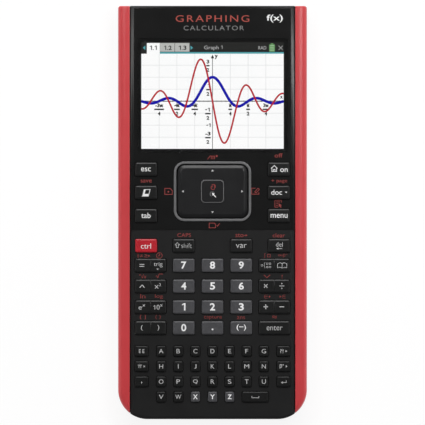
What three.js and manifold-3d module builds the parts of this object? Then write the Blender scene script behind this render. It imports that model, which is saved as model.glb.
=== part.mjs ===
// Handheld graphing calculator with a tilting touchpad, lying on its back.
// Millimetres. +Z is the face with the keys, +Y is the display end, +X is right.
// The origin is on the surface that the foot bars stand on, under the middle of the case.

import * as THREE from 'three';
import Module from 'manifold-3d';
import { mergeVertices } from 'three/addons/utils/BufferGeometryUtils.js';

const wasm = await Module();
wasm.setup();

// ---------- driving dimensions ----------

const WIDTH = 86;
const LENGTH = 188.2;
const HALF_W = WIDTH / 2;
const HALF_L = LENGTH / 2;
const TOP_CORNER = 1.2;
const BOTTOM_CORNER = 13.4;
const GAP = 0.3; // between pieces that touch in the real object
const PLAY = 0.6; // room round the battery

// heights above the table
const BACK = 0.6;
const BACK_INSIDE = 2.4;
const REAR_RIM = 4.0;
const BOARD_BOTTOM = 8.6;
const BOARD_TOP = 9.8;
const SHEET_TOP = 10.4;
const FLANGE_BOTTOM = 11.4;
const FLANGE_TOP = 12.2;
const DECK_BOTTOM = 12.5;
const KEYPAD_DECK = 14.2;
const DISPLAY_DECK = 14.5;
const HEIGHT = 15.5;

const WALL = 1.2;
const REAR_WALL = 1.8;
const PANEL_HALF_W = 37.4; // black front case, between the rails
const RAIL_INNER_X = PANEL_HALF_W + GAP;
const RAIL_WALL = 1.5;
const RAIL_CHANNEL_END_Y = -82;
const BOSS_START = REAR_RIM + 1.3;
const SOCKET_WALL_DEPTH = 3;

// edge shapes as [height, inset] pairs from the bottom up
const TRAY_EDGE = [[BACK, 2.4], [0.9, 1.3], [1.6, 0.45], [2.6, 0], [REAR_RIM, 0]];
const RAIL_CROWN = [[REAR_RIM + GAP, 0], [11.2, 0], [12.6, 0.25], [13.6, 0.95], [14.1, 2.0], [14.4, 3.6]];
// the same for the front case, as [height, side inset, end inset]
const PANEL_EDGE = [[REAR_RIM + GAP, 0, 0], [12.6, 0, 0], [13.6, 0, 0.25], [14.15, 0.1, 0.65],
  [DISPLAY_DECK, 0.4, 1.3]];

// keypad layout
const CREASE_Y = -7.9;
const CREASE_HALF_W = 0.4;
const SIDE_KEY_X = 30.2;
const SIDE_KEY_TOP_Y = 19.7;
const SIDE_KEY_PITCH = 10.565;
const MODIFIER_Y = -15.13;
const NUMBER_PITCH_X = 13.1;
const NUMBER_TOP_Y = -24.06;
const NUMBER_PITCH_Y = 9.48;
const ROCKER_X = 28.15;
const LETTER_PITCH_X = 7.79;
const LETTER_TOP_Y = -63.1;
const LETTER_PITCH_Y = 6.93;
const LETTER_END_X = 32.25;
const SPACE_KEY_X = 19.5;

const KEY_SIZE = [9.9, 6.1];
const ROCKER_SIZE = [14.1, 6.1];
const LETTER_SIZE = [4.2, 4.65];
const LETTER_END_SIZE = [6.0, 4.65];
const SPACE_SIZE = [12.0, 4.65];
const KEY_CORNER = 0.8;
const KEY_BEVEL = 0.5;
const KEY_BEVEL_HEIGHT = 0.35;
const KEY_FLANGE = 0.6;
const KEYPAD_KEY_TOP = KEYPAD_DECK + 0.95;

// display
const WINDOW_Y = 53.3;
const WINDOW_SIZE = [68.4, 52.0];
const WINDOW_CORNER = 0.8;
const WINDOW_BOTTOM = 13.3;
const APERTURE_SIZE = [66, 49.8];
const MODULE_SIZE = [70.6, 58];
const MODULE_CORNER = 0.6;
const MODULE_STEP = 0.8;
const MODULE_STEP_Z = 11.6;
const MODULE_TOP = DECK_BOTTOM - GAP;
const RIBBON_HALF_W = 10;
const RIBBON_END_Y = 18;
const RIBBON_THICKNESS = 0.4;

// touchpad
const PAD_Y = 9.63;
const RING_SIZE = [35.2, 27.2];
const RING_WIDTH = 1.1;
const RING_CORNER = 4.9;
const RING_SEAT = 13.9;
const RING_TOP = 15.1;
const PAD_SIZE = [31.8, 24.0];
const PAD_CORNER = 3.4;
const PAD_BOTTOM = 12.7;
const PAD_TOP = 14.9;
const PAD_ROOM_TOP = 12.9;
const PAD_ROOM_SIDE = 0.7;
const STEM_SIZE = [24, 16];
const CARRIER_SIZE = [33.6, 25.6];
const CARRIER_OPENING = [27, 19];
const CARRIER_Z = [11.2, 12.0];
const PAD_BUTTON = [10.5, 10.5];
const PAD_BUTTON_CORNER = 1.9;
const BUTTON_FLANGE = [12.9, 12.9];
const BUTTON_FLANGE_ROOM = [13.6, 13.6];
const BUTTON_FLANGE_Z = [11.9, 12.6];
const BUTTON_SIDE_TOP = 15.0;
const BUTTON_TOP = 15.3;

// battery and door
const BATTERY_Y = -52;
const BATTERY_SIZE = [52, 36];
const BATTERY_Z = [2.4, 8.0];
const BATTERY_EDGE = 0.5;
const WELL_OUTSIDE = 1.8;
const CONTACTS_HALF_W = 6;
const CONTACTS_DEPTH = 4;
const CONTACT_XS = [-3.6, 0, 3.6];
const CONTACT_SLOT_HALF_W = 0.8;
const CONTACT_SLOT_DEPTH = 1.6;
const CONTACT_SLOT_Z = [4.4, 7.4];
const DOOR_Y = -54;
const DOOR_SIZE = [60, 52];
const DOOR_CORNER = 3;
const DOOR_TOP = 2.0;
const LEDGE_TOP = 3.3;
const LEDGE_WIDTH = 1.5;
const HOOK_XS = [-17, 17];
const HOOK_HALF_W = 3;
const HOOK_ROOT_Y = [-30.2, -28.4];
const HOOK_TIP_Y = -26.2;
const HOOK_TOP = LEDGE_TOP + 1.1;
const GRIP_YS = [-37, -39, -41];
const GRIP_HALF_W = 9;
const GRIP_HALF_WIDTH = 0.4;
const GRIP_DEPTH = 0.4;
const DOOR_HEAD_ROOM_TOP = 1.6;

// fasteners and small parts
const SHANK_R = 1.0;
const SCREW_HEAD_R = 1.9;
const SCREW_HEAD_BOTTOM = 0.9;
const SCREW_HEAD_TOP = 2.2;
const DOOR_SCREW_HEAD_TOP = 1.3;
const SCREW_POINT = 0.8;
const CROSS_HALF_L = 1.1;
const CROSS_HALF_W = 0.25;
const CROSS_DEPTH = 0.5;
const CASE_SCREW_TOP = 9.5;
const DOOR_SCREW_TOP = 6.0;
const CASE_SCREWS = [[-32.3, 87.2], [32.3, 87.2], [-31, -86], [31, -86]];
const DOOR_SCREWS = [[-25, -76], [25, -76]];
const BOSS_R = 2.8;
const FOOT_SIZE = [48, 6];
const FOOT_YS = [84, -87];
const FOOT_TOP = 0.9;
const FOOT_POCKET = 1.2;
const FOOT_EDGE = 0.3;
const SOCKET_HALF_W = 3.85;
const SOCKET_Z = [4.4, 8.3];
const SOCKET_Y = [84.5, 93.4];
const SOCKET_SHEET = 0.4;
const SOCKET_BACK = 1.5;
const TONGUE_HALF_W = 2;
const RESET_AT = [20, 44];
const RESET_R = 1.2;
// [radius, height] pairs: a pin, a flange that keeps it in the case, and a stem to the board
const RESET_PROFILE = [[0, 1.1], [RESET_R, 1.1], [RESET_R, 2.7], [2.1, 2.7], [2.1, 3.4], [1.0, 3.4],
  [1.0, 8.0], [0, 8.0]];

// main board: a wide middle part and a narrower tab at each end
const BOARD_HALF_W = 35.9;
const BOARD_Y = [-80, 82.5];
const LOW_TAB = { halfW: 27.2, y: -88 };
const HIGH_TAB = { halfW: 28.5, y: 91.5 };
const SHEET_END_Y = 23.6;
const SHEET_NOTCH = { halfW: 11, y: 17.5 };
const CHIPS = {
  processor: { x: [-12, 10], y: [28, 50], bottom: 6.6 },
  memory: { x: [-30, -16], y: [30, 44], bottom: 7.2 },
  converter: { x: [-28, -20], y: [60, 66], bottom: 7.0 },
  charger: { x: [12, 26], y: [62, 72], bottom: 7.2 },
};

const CORNER_STEPS = 2;
const ROUND_STEPS = 16;

// ---------- outlines ----------

function arc(cx, cy, r, from, to, steps) {
  const points = [];
  for (let i = 0; i <= steps; i++) {
    const a = from + ((to - from) * i) / steps;
    points.push([cx + r * Math.cos(a), cy + r * Math.sin(a)]);
  }
  return points;
}

function roundedRect([w, h], r, [cx, cy] = [0, 0], steps = CORNER_STEPS) {
  const x = w / 2 - r;
  const y = h / 2 - r;
  const centres = [[x, y], [-x, y], [-x, -y], [x, -y]];
  return centres.flatMap(([px, py], i) =>
    arc(cx + px, cy + py, r, (i * Math.PI) / 2, ((i + 1) * Math.PI) / 2, steps));
}

// Whole outline of the calculator, drawn in by inset: nearly square corners at the
// display end and large round ones at the lower end.
function bodyOutline(inset) {
  const topR = Math.max(TOP_CORNER - inset, 0.2);
  const lowR = BOTTOM_CORNER - inset;
  const right = HALF_W - inset;
  const top = HALF_L - inset;
  return [
    ...arc(right - topR, top - topR, topR, 0, Math.PI / 2, 2),
    ...arc(topR - right, top - topR, topR, Math.PI / 2, Math.PI, 2),
    ...arc(lowR - right, lowR - top, lowR, Math.PI, 1.5 * Math.PI, 7),
    ...arc(right - lowR, lowR - top, lowR, 1.5 * Math.PI, 2 * Math.PI, 7),
  ];
}

// The part of the body outline between the rails: straight sides at halfW, ends drawn in.
function panelOutline(halfW, endInset) {
  const r = BOTTOM_CORNER - endInset;
  const cx = HALF_W - BOTTOM_CORNER;
  const cy = BOTTOM_CORNER - HALF_L;
  const start = -Math.acos((halfW - cx) / r);
  const rightArc = arc(cx, cy, r, -Math.PI / 2, start, 4);
  const leftArc = rightArc.map(([x, y]) => [-x, y]).reverse();
  return [[halfW, HALF_L - endInset], [-halfW, HALF_L - endInset], ...leftArc, ...rightArc];
}

// The part of the body outline outside the right side of the panel, ending in a point.
function railOutline(inset) {
  const r = BOTTOM_CORNER - inset;
  const cx = HALF_W - BOTTOM_CORNER;
  const cy = BOTTOM_CORNER - HALF_L;
  const point = -Math.acos((RAIL_INNER_X - cx) / r);
  const corner = Math.min(TOP_CORNER, (HALF_W - inset - RAIL_INNER_X) / 2);
  const outer = HALF_W - inset;
  return [
    ...arc(cx, cy, r, point, 0, 7),
    ...arc(outer - corner, HALF_L - corner, corner, 0, Math.PI / 2, 2),
    [RAIL_INNER_X, HALF_L],
  ];
}

// ---------- solids ----------

// A closed solid through outlines of equal length, one per level, given as [height, outline].
function loft(levels) {
  const count = levels[0][1].length;
  const positions = levels.flatMap(([z, outline]) => outline.flatMap(([x, y]) => [x, y, z]));
  const index = [];
  for (let level = 0; level + 1 < levels.length; level++) {
    for (let i = 0; i < count; i++) {
      const a = level * count + i;
      const b = level * count + ((i + 1) % count);
      index.push(a, b, b + count, a, b + count, a + count);
    }
  }
  const cap = (outline) =>
    THREE.ShapeUtils.triangulateShape(outline.map(([x, y]) => new THREE.Vector2(x, y)), []);
  const last = (levels.length - 1) * count;
  for (const [a, b, c] of cap(levels[0][1])) index.push(c, b, a);
  for (const [a, b, c] of cap(levels[levels.length - 1][1])) {
    index.push(last + a, last + b, last + c);
  }
  const geometry = new THREE.BufferGeometry();
  geometry.setAttribute('position', new THREE.Float32BufferAttribute(positions, 3));
  geometry.setIndex(index);
  return geometry;
}

const plate = (outline, z0, z1) => loft([[z0, outline], [z1, outline]]);

function block([x0, x1], [y0, y1], [z0, z1]) {
  return new THREE.BoxGeometry(x1 - x0, y1 - y0, z1 - z0)
    .translate((x0 + x1) / 2, (y0 + y1) / 2, (z0 + z1) / 2);
}

function drum([x, y], r, [z0, z1]) {
  return new THREE.CylinderGeometry(r, r, z1 - z0, ROUND_STEPS)
    .rotateX(Math.PI / 2)
    .translate(x, y, (z0 + z1) / 2);
}

// A solid swept along X from points in the YZ plane.
function prismAlongX(points, [x0, x1]) {
  const shape = new THREE.Shape(points.map(([y, z]) => new THREE.Vector2(y, z)));
  return new THREE.ExtrudeGeometry(shape, { depth: x1 - x0, bevelEnabled: false })
    .rotateZ(Math.PI / 2)
    .rotateY(Math.PI / 2)
    .translate(x0, 0, 0);
}

function toSolid(geometry) {
  const bare = geometry.clone();
  bare.deleteAttribute('normal');
  bare.deleteAttribute('uv');
  const merged = mergeVertices(bare, 1e-4);
  return new wasm.Manifold(new wasm.Mesh({
    numProp: 3,
    vertProperties: new Float32Array(merged.attributes.position.array),
    triVerts: new Uint32Array(merged.index.array),
  }));
}

function toGeometry(solid) {
  const mesh = solid.getMesh();
  const geometry = new THREE.BufferGeometry();
  geometry.setAttribute('position', new THREE.BufferAttribute(mesh.vertProperties, 3));
  geometry.setIndex(new THREE.BufferAttribute(mesh.triVerts, 1));
  return geometry;
}

// Joins the added geometries and then takes the cut ones away.
function shaped({ add, cut = [] }) {
  let solid = toSolid(add[0]);
  for (const geometry of add.slice(1)) solid = solid.add(toSolid(geometry));
  for (const geometry of cut) solid = solid.subtract(toSolid(geometry));
  return toGeometry(solid);
}

// ---------- materials ----------

const finish = (color, roughness, metalness = 0) =>
  new THREE.MeshStandardMaterial({ color, roughness, metalness });

const materials = {
  caseFront: finish(0x222223, 0.35),
  caseRear: finish(0x1c1c1e, 0.6),
  rail: finish(0xc8454c, 0.4),
  window: new THREE.MeshStandardMaterial({ color: 0xdfe6ea, roughness: 0.05, opacity: 0.35 }),
  display: finish(0xf4f6f8, 0.3),
  silver: finish(0x8d8f91, 0.3, 0.8),
  darkKey: finish(0x2b2b2d, 0.45),
  greyKey: finish(0x55565a, 0.45),
  redKey: finish(0xc4343c, 0.4),
  board: finish(0x1f5a38, 0.6),
  dome: finish(0xb9b9b4, 0.7),
  battery: finish(0x4a4d55, 0.4),
  contact: finish(0xb08a3c, 0.3, 0.9),
  ribbon: finish(0xb06a24, 0.5),
  steel: finish(0x9a9ca0, 0.3, 0.9),
  rubber: finish(0x141414, 0.9),
};

// ---------- key shapes ----------

function keyPlaces() {
  const sideY = (row) => SIDE_KEY_TOP_Y - row * SIDE_KEY_PITCH;
  const numberY = (row) => NUMBER_TOP_Y - row * NUMBER_PITCH_Y;
  const places = [];
  const put = (name, x, y, size, top, material) =>
    places.push({ name, at: [x, y], size, top, material });

  ['escape_key', 'scratchpad_key', 'tab_key'].forEach((name, row) =>
    put(name, -SIDE_KEY_X, sideY(row), KEY_SIZE, HEIGHT, materials.darkKey));
  ['home_key', 'document_key', 'menu_key'].forEach((name, row) =>
    put(name, SIDE_KEY_X, sideY(row), KEY_SIZE, HEIGHT, materials.darkKey));

  const modifiers = { control_key: -SIDE_KEY_X, shift_key: -NUMBER_PITCH_X,
    variable_key: NUMBER_PITCH_X, delete_key: SIDE_KEY_X };
  for (const [name, x] of Object.entries(modifiers)) {
    const material = name === 'control_key' ? materials.redKey : materials.darkKey;
    put(name, x, MODIFIER_Y, KEY_SIZE, KEYPAD_KEY_TOP, material);
  }

  const numbers = [['7', '8', '9'], ['4', '5', '6'], ['1', '2', '3'], ['0', 'point', 'negate']];
  numbers.forEach((names, row) => names.forEach((name, column) =>
    put(`number_key_${name}`, (column - 1) * NUMBER_PITCH_X, numberY(row), KEY_SIZE,
      KEYPAD_KEY_TOP, materials.greyKey)));

  const left = ['equals_trig', 'power_square', 'exponential', 'bracket'];
  const right = ['template_catalog', 'multiply_divide', 'add_subtract'];
  left.forEach((name, row) =>
    put(`${name}_rocker`, -ROCKER_X, numberY(row), ROCKER_SIZE, KEYPAD_KEY_TOP, materials.darkKey));
  right.forEach((name, row) =>
    put(`${name}_rocker`, ROCKER_X, numberY(row), ROCKER_SIZE, KEYPAD_KEY_TOP, materials.darkKey));
  put('enter_key', ROCKER_X, numberY(3), ROCKER_SIZE, KEYPAD_KEY_TOP, materials.darkKey);
  return places;
}

// Each letter row as a list of caps: the first three rows have seven letters between two
// wider end keys, the last one has five letters and the space key.
function letterRow(row) {
  const y = LETTER_TOP_Y - row * LETTER_PITCH_Y;
  const letters = [-3, -2, -1, 0, 1, 2, 3].map((n) => n * LETTER_PITCH_X);
  if (row < 3) {
    return [
      { at: [-LETTER_END_X, y], size: LETTER_END_SIZE },
      ...letters.map((x) => ({ at: [x, y], size: LETTER_SIZE })),
      { at: [LETTER_END_X, y], size: LETTER_END_SIZE },
    ];
  }
  return [
    ...letters.slice(0, 5).map((x) => ({ at: [x, y], size: LETTER_SIZE })),
    { at: [SPACE_KEY_X, y], size: SPACE_SIZE },
  ];
}

const grown = ([w, h], by) => [w + 2 * by, h + 2 * by];

// Levels of a cap with a bevelled top edge.
function capLevels({ at, size }, bottom, top) {
  const side = roundedRect(size, KEY_CORNER, at);
  const face = roundedRect(grown(size, -KEY_BEVEL), KEY_CORNER - KEY_BEVEL / 2, at);
  return [[bottom, side], [top - KEY_BEVEL_HEIGHT, side], [top, face]];
}

// A cap on a flange that stops under the deck. A rocker's flange is lower, for its tilt, and
// has no sides, where its ends go down.
function keyGeometry(key) {
  const rocker = key.name.endsWith('rocker');
  const flangeTop = rocker ? FLANGE_TOP - GAP : FLANGE_TOP;
  const flangeSize = rocker
    ? [key.size[0], key.size[1] + 2 * KEY_FLANGE]
    : grown(key.size, KEY_FLANGE);
  return shaped({ add: [
    plate(roundedRect(flangeSize, KEY_CORNER, key.at), FLANGE_BOTTOM, flangeTop),
    loft(capLevels(key, FLANGE_BOTTOM + GAP, key.top)),
  ] });
}

// The caps of one letter row on the thin web that joins them under the deck.
function letterRowGeometry(caps) {
  const xs = caps.flatMap(({ at, size }) => [at[0] - size[0] / 2, at[0] + size[0] / 2]);
  const y = caps[0].at[1];
  const reach = LETTER_SIZE[1] / 2 + KEY_FLANGE;
  const web = block([Math.min(...xs) - KEY_FLANGE, Math.max(...xs) + KEY_FLANGE],
    [y - reach, y + reach], [FLANGE_BOTTOM, FLANGE_TOP]);
  return shaped({ add: [
    web, ...caps.map((key) => loft(capLevels(key, FLANGE_BOTTOM + GAP, KEYPAD_KEY_TOP))),
  ] });
}

// ---------- casing ----------

function frontCase(allCaps) {
  const outside = loft(PANEL_EDGE.map(([z, side, end]) => [z, panelOutline(PANEL_HALF_W - side, end)]));
  const hollow = plate(panelOutline(PANEL_HALF_W - WALL, WALL), REAR_RIM, DECK_BOTTOM);
  const aboveKeypad = prismAlongX([
    [CREASE_Y + CREASE_HALF_W, DISPLAY_DECK], [CREASE_Y - CREASE_HALF_W, KEYPAD_DECK],
    [-HALF_L - 1, KEYPAD_DECK], [-HALF_L - 1, HEIGHT], [CREASE_Y + CREASE_HALF_W, HEIGHT],
  ], [-HALF_W, HALF_W]);
  const bosses = CASE_SCREWS.map((at) => drum(at, BOSS_R, [BOSS_START, DECK_BOTTOM + GAP]));
  const bossHoles = CASE_SCREWS.map((at) => drum(at, SHANK_R + GAP, [REAR_RIM, CASE_SCREW_TOP + 0.5]));
  const shell = shaped({ add: [outside], cut: [hollow, aboveKeypad] });
  const windowSeat = plate(
    roundedRect(grown(WINDOW_SIZE, GAP), WINDOW_CORNER, [0, WINDOW_Y]), WINDOW_BOTTOM - GAP, HEIGHT);
  const aperture = plate(
    roundedRect(APERTURE_SIZE, WINDOW_CORNER, [0, WINDOW_Y]), DECK_BOTTOM - GAP, HEIGHT);
  const at = [0, PAD_Y];
  const ringSeat = plate(roundedRect(grown(RING_SIZE, GAP), RING_CORNER + GAP, at, 4), RING_SEAT, HEIGHT);
  const padHole = plate(
    roundedRect(grown(RING_SIZE, -RING_WIDTH), RING_CORNER - RING_WIDTH, at, 4),
    DECK_BOTTOM - GAP, HEIGHT);
  const padRoom = plate(
    roundedRect(grown(RING_SIZE, PAD_ROOM_SIDE), 1, at), DECK_BOTTOM - GAP, PAD_ROOM_TOP);
  const keyHoles = allCaps.map((key) =>
    plate(roundedRect(grown(key.size, GAP), KEY_CORNER + GAP / 2, key.at), DECK_BOTTOM - GAP, HEIGHT));
  const socketHole = block([-SOCKET_HALF_W - GAP, SOCKET_HALF_W + GAP],
    [HALF_L - SOCKET_WALL_DEPTH, HALF_L + 1], [REAR_RIM, SOCKET_Z[1] + GAP]);
  return shaped({
    add: [shell, ...bosses],
    cut: [windowSeat, aperture, ringSeat, padHole, padRoom, socketHole, ...keyHoles, ...bossHoles],
  });
}

function rearCase() {
  const tray = loft(TRAY_EDGE.map(([z, inset]) => [z, bodyOutline(inset)]));
  const inside = plate(bodyOutline(REAR_WALL), BACK_INSIDE, HEIGHT);
  const doorHole = grown(DOOR_SIZE, GAP);
  const ledge = plate(roundedRect(grown(doorHole, LEDGE_WIDTH), DOOR_CORNER, [0, DOOR_Y]),
    DOOR_TOP + GAP, LEDGE_TOP);
  const wellOuter = plate(roundedRect(grown(BATTERY_SIZE, WELL_OUTSIDE), 1, [0, BATTERY_Y]),
    DOOR_TOP + GAP, BOARD_BOTTOM - GAP);
  const well = plate(roundedRect(grown(BATTERY_SIZE, PLAY), 1, [0, BATTERY_Y]), 0, HEIGHT);
  const wellEnd = BATTERY_Y + BATTERY_SIZE[1] / 2;
  const contactGap = block([-CONTACTS_HALF_W - 0.5, CONTACTS_HALF_W + 0.5], [wellEnd - 1, wellEnd + 3],
    [LEDGE_TOP, HEIGHT]);
  const caseBosses = CASE_SCREWS.map((at) => drum(at, BOSS_R + 0.6, [BACK_INSIDE - GAP, REAR_RIM + 1]));
  const caseHeads = CASE_SCREWS.map((at) => drum(at, SCREW_HEAD_R + GAP, [0, SCREW_HEAD_TOP + GAP]));
  const caseShanks = CASE_SCREWS.map((at) => drum(at, SHANK_R + GAP, [0, HEIGHT]));
  const doorBosses = DOOR_SCREWS.map((at) => drum(at, BOSS_R, [DOOR_TOP + GAP, DOOR_SCREW_TOP + 1]));
  const doorShanks = DOOR_SCREWS.map((at) => drum(at, SHANK_R + GAP, [0, DOOR_SCREW_TOP + GAP]));
  const hookSlots = HOOK_XS.map((x) => block([x - HOOK_HALF_W - GAP, x + HOOK_HALF_W + GAP],
    [HOOK_ROOT_Y[0] - GAP, HOOK_ROOT_Y[1] + 0.4], [0, LEDGE_TOP + 1]));
  const feet = FOOT_YS.map((y) =>
    plate(roundedRect(grown(FOOT_SIZE, GAP), FOOT_SIZE[1] / 2, [0, y]), 0, FOOT_POCKET));
  const resetHole = drum(RESET_AT, RESET_R + GAP, [0, BACK_INSIDE + 1]);
  const open = shaped({ add: [tray],
    cut: [inside, plate(roundedRect(doorHole, DOOR_CORNER, [0, DOOR_Y]), 0, HEIGHT)] });
  return shaped({
    add: [open, ledge, wellOuter, ...caseBosses, ...doorBosses],
    cut: [well, contactGap, ...caseHeads, ...caseShanks, ...doorShanks, ...hookSlots, ...feet,
      resetHole],
  });
}

// Channel section: outer wall, crowned top flange and closed ends, open towards the case.
function rightRail() {
  const bar = loft(RAIL_CROWN.map(([z, inset]) => [z, railOutline(inset)]));
  const channel = block([RAIL_INNER_X - 1, HALF_W - RAIL_WALL],
    [RAIL_CHANNEL_END_Y, HALF_L - RAIL_WALL], [REAR_RIM, DECK_BOTTOM]);
  return shaped({ add: [bar], cut: [channel] });
}

// The same solid on the other side of the middle plane. A mirror turns every triangle
// inside out, so two corners of each are exchanged.
function mirrored(geometry) {
  geometry.applyMatrix4(new THREE.Matrix4().makeScale(-1, 1, 1));
  const index = geometry.index.array;
  for (let i = 0; i < index.length; i += 3) {
    [index[i], index[i + 1]] = [index[i + 1], index[i]];
  }
  return geometry;
}

function batteryDoor() {
  const panel = plate(roundedRect(DOOR_SIZE, DOOR_CORNER, [0, DOOR_Y]), BACK, DOOR_TOP);
  const hooks = HOOK_XS.flatMap((x) => [
    block([x - HOOK_HALF_W, x + HOOK_HALF_W], HOOK_ROOT_Y, [DOOR_TOP - GAP, HOOK_TOP]),
    block([x - HOOK_HALF_W, x + HOOK_HALF_W], [HOOK_ROOT_Y[0], HOOK_TIP_Y], [LEDGE_TOP + GAP, HOOK_TOP]),
  ]);
  const grip = GRIP_YS.map((y) => block([-GRIP_HALF_W, GRIP_HALF_W],
    [y - GRIP_HALF_WIDTH, y + GRIP_HALF_WIDTH], [0, BACK + GRIP_DEPTH]));
  const heads = DOOR_SCREWS.map((at) => drum(at, SCREW_HEAD_R + GAP, [0, DOOR_HEAD_ROOM_TOP]));
  const shanks = DOOR_SCREWS.map((at) => drum(at, SHANK_R + GAP, [0, DOOR_TOP + 1]));
  return shaped({ add: [panel, ...hooks], cut: [...grip, ...heads, ...shanks] });
}

// ---------- touchpad ----------

function touchpadRing() {
  const at = [0, PAD_Y];
  const outer = roundedRect(RING_SIZE, RING_CORNER, at, 4);
  const outerTop = roundedRect(grown(RING_SIZE, -GAP), RING_CORNER - GAP, at, 4);
  const inner = roundedRect(grown(RING_SIZE, -RING_WIDTH), RING_CORNER - RING_WIDTH, at, 4);
  return shaped({
    add: [loft([[RING_SEAT + GAP, outer], [RING_TOP - GAP, outer], [RING_TOP, outerTop]])],
    cut: [plate(inner, RING_SEAT, HEIGHT)],
  });
}

function touchpadCarrier() {
  const at = [0, PAD_Y];
  return shaped({
    add: [plate(roundedRect(CARRIER_SIZE, 2, at), ...CARRIER_Z)],
    cut: [plate(roundedRect(CARRIER_OPENING, 1, at), CARRIER_Z[0] - 1, CARRIER_Z[1] + 1)],
  });
}

function touchpadPlate() {
  const at = [0, PAD_Y];
  const top = roundedRect(grown(PAD_SIZE, -0.6), PAD_CORNER - 0.5, at, 4);
  const side = roundedRect(PAD_SIZE, PAD_CORNER, at, 4);
  const body = loft([[PAD_BOTTOM, side], [PAD_TOP - 0.5, side], [PAD_TOP, top]]);
  const stem = plate(roundedRect(STEM_SIZE, 1, at), FLANGE_BOTTOM, PAD_ROOM_TOP);
  const hole = plate(
    roundedRect(grown(PAD_BUTTON, GAP), PAD_BUTTON_CORNER + GAP, at, 3), FLANGE_BOTTOM - GAP, HEIGHT);
  const flangeRoom = plate(
    roundedRect(BUTTON_FLANGE_ROOM, 1, at), FLANGE_BOTTOM - GAP, PAD_ROOM_TOP);
  return shaped({ add: [body, stem], cut: [hole, flangeRoom] });
}

function touchpadButton() {
  const at = [0, PAD_Y];
  const side = roundedRect(PAD_BUTTON, PAD_BUTTON_CORNER, at, 3);
  const face = roundedRect(grown(PAD_BUTTON, -0.4), PAD_BUTTON_CORNER - 0.3, at, 3);
  const flange = roundedRect(BUTTON_FLANGE, PAD_BUTTON_CORNER, at, 3);
  const [flangeBottom, flangeTop] = BUTTON_FLANGE_Z;
  return loft([[flangeBottom, flange], [flangeTop, flange], [flangeTop, side],
    [BUTTON_SIDE_TOP, side], [BUTTON_TOP, face]]);
}

// ---------- inside ----------

// Right half of an outline from the low tab up, followed by its mirror image.
function symmetric(rightHalf) {
  return [...rightHalf, ...rightHalf.map(([x, y]) => [-x, y]).reverse()];
}

const boardLowEnd = [[LOW_TAB.halfW, LOW_TAB.y], [LOW_TAB.halfW, BOARD_Y[0]],
  [BOARD_HALF_W, BOARD_Y[0]]];

function mainBoard() {
  const outline = symmetric([...boardLowEnd, [BOARD_HALF_W, BOARD_Y[1]],
    [HIGH_TAB.halfW, BOARD_Y[1]], [HIGH_TAB.halfW, HIGH_TAB.y]]);
  const chips = Object.values(CHIPS).map(({ x, y, bottom }) =>
    block(x, y, [bottom, BOARD_BOTTOM + GAP]));
  return shaped({ add: [plate(outline, BOARD_BOTTOM, BOARD_TOP), ...chips] });
}

// Reaches under every key, with a notch for the display ribbon.
function domeSheet() {
  const outline = symmetric([...boardLowEnd, [BOARD_HALF_W, SHEET_END_Y],
    [SHEET_NOTCH.halfW, SHEET_END_Y], [SHEET_NOTCH.halfW, SHEET_NOTCH.y]]);
  return plate(outline, BOARD_TOP + GAP, SHEET_TOP);
}

function displayModule() {
  const frame = roundedRect(MODULE_SIZE, MODULE_CORNER, [0, WINDOW_Y]);
  const glass = roundedRect(grown(MODULE_SIZE, -MODULE_STEP), MODULE_CORNER, [0, WINDOW_Y]);
  return loft([
    [BOARD_TOP + GAP, frame], [MODULE_STEP_Z, frame], [MODULE_STEP_Z, glass], [MODULE_TOP, glass],
  ]);
}

function displayRibbon() {
  const end = WINDOW_Y - MODULE_SIZE[1] / 2 - GAP;
  const bottom = BOARD_TOP + GAP;
  return prismAlongX([
    [end, bottom], [end, MODULE_STEP_Z], [end - RIBBON_THICKNESS, MODULE_STEP_Z],
    [end - RIBBON_THICKNESS, bottom + RIBBON_THICKNESS], [RIBBON_END_Y, bottom + RIBBON_THICKNESS],
    [RIBBON_END_Y, bottom],
  ], [-RIBBON_HALF_W, RIBBON_HALF_W]);
}

function batteryPack() {
  const side = roundedRect(BATTERY_SIZE, 1.5, [0, BATTERY_Y]);
  const face = roundedRect(grown(BATTERY_SIZE, -BATTERY_EDGE), 1.2, [0, BATTERY_Y]);
  const [bottom, top] = BATTERY_Z;
  return loft([[bottom, face], [bottom + BATTERY_EDGE, side], [top - BATTERY_EDGE, side], [top, face]]);
}

function batteryContacts() {
  const end = BATTERY_Y + BATTERY_SIZE[1] / 2 + GAP;
  return shaped({
    add: [block([-CONTACTS_HALF_W, CONTACTS_HALF_W], [end, end + CONTACTS_DEPTH],
      [LEDGE_TOP + GAP, BOARD_BOTTOM - GAP])],
    cut: CONTACT_XS.map((x) => block([x - CONTACT_SLOT_HALF_W, x + CONTACT_SLOT_HALF_W],
      [end - 1, end + CONTACT_SLOT_DEPTH], CONTACT_SLOT_Z)),
  });
}

function usbSocket() {
  const [z0, z1] = SOCKET_Z;
  const [y0, y1] = SOCKET_Y;
  const middle = (z0 + z1) / 2;
  return shaped({
    add: [
      shaped({
        add: [block([-SOCKET_HALF_W, SOCKET_HALF_W], [y0, y1], SOCKET_Z)],
        cut: [block([SOCKET_SHEET - SOCKET_HALF_W, SOCKET_HALF_W - SOCKET_SHEET],
          [y0 + SOCKET_BACK, y1 + 1], [z0 + SOCKET_SHEET, z1 - SOCKET_SHEET])],
      }),
      block([-TONGUE_HALF_W, TONGUE_HALF_W], [y0 + 1, y1 - 0.8], [middle - 0.1, middle + 0.8]),
    ],
  });
}

function resetButton() {
  return new THREE.LatheGeometry(RESET_PROFILE.map(([r, z]) => new THREE.Vector2(r, z)), 12)
    .rotateX(Math.PI / 2)
    .translate(RESET_AT[0], RESET_AT[1], 0);
}

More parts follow.
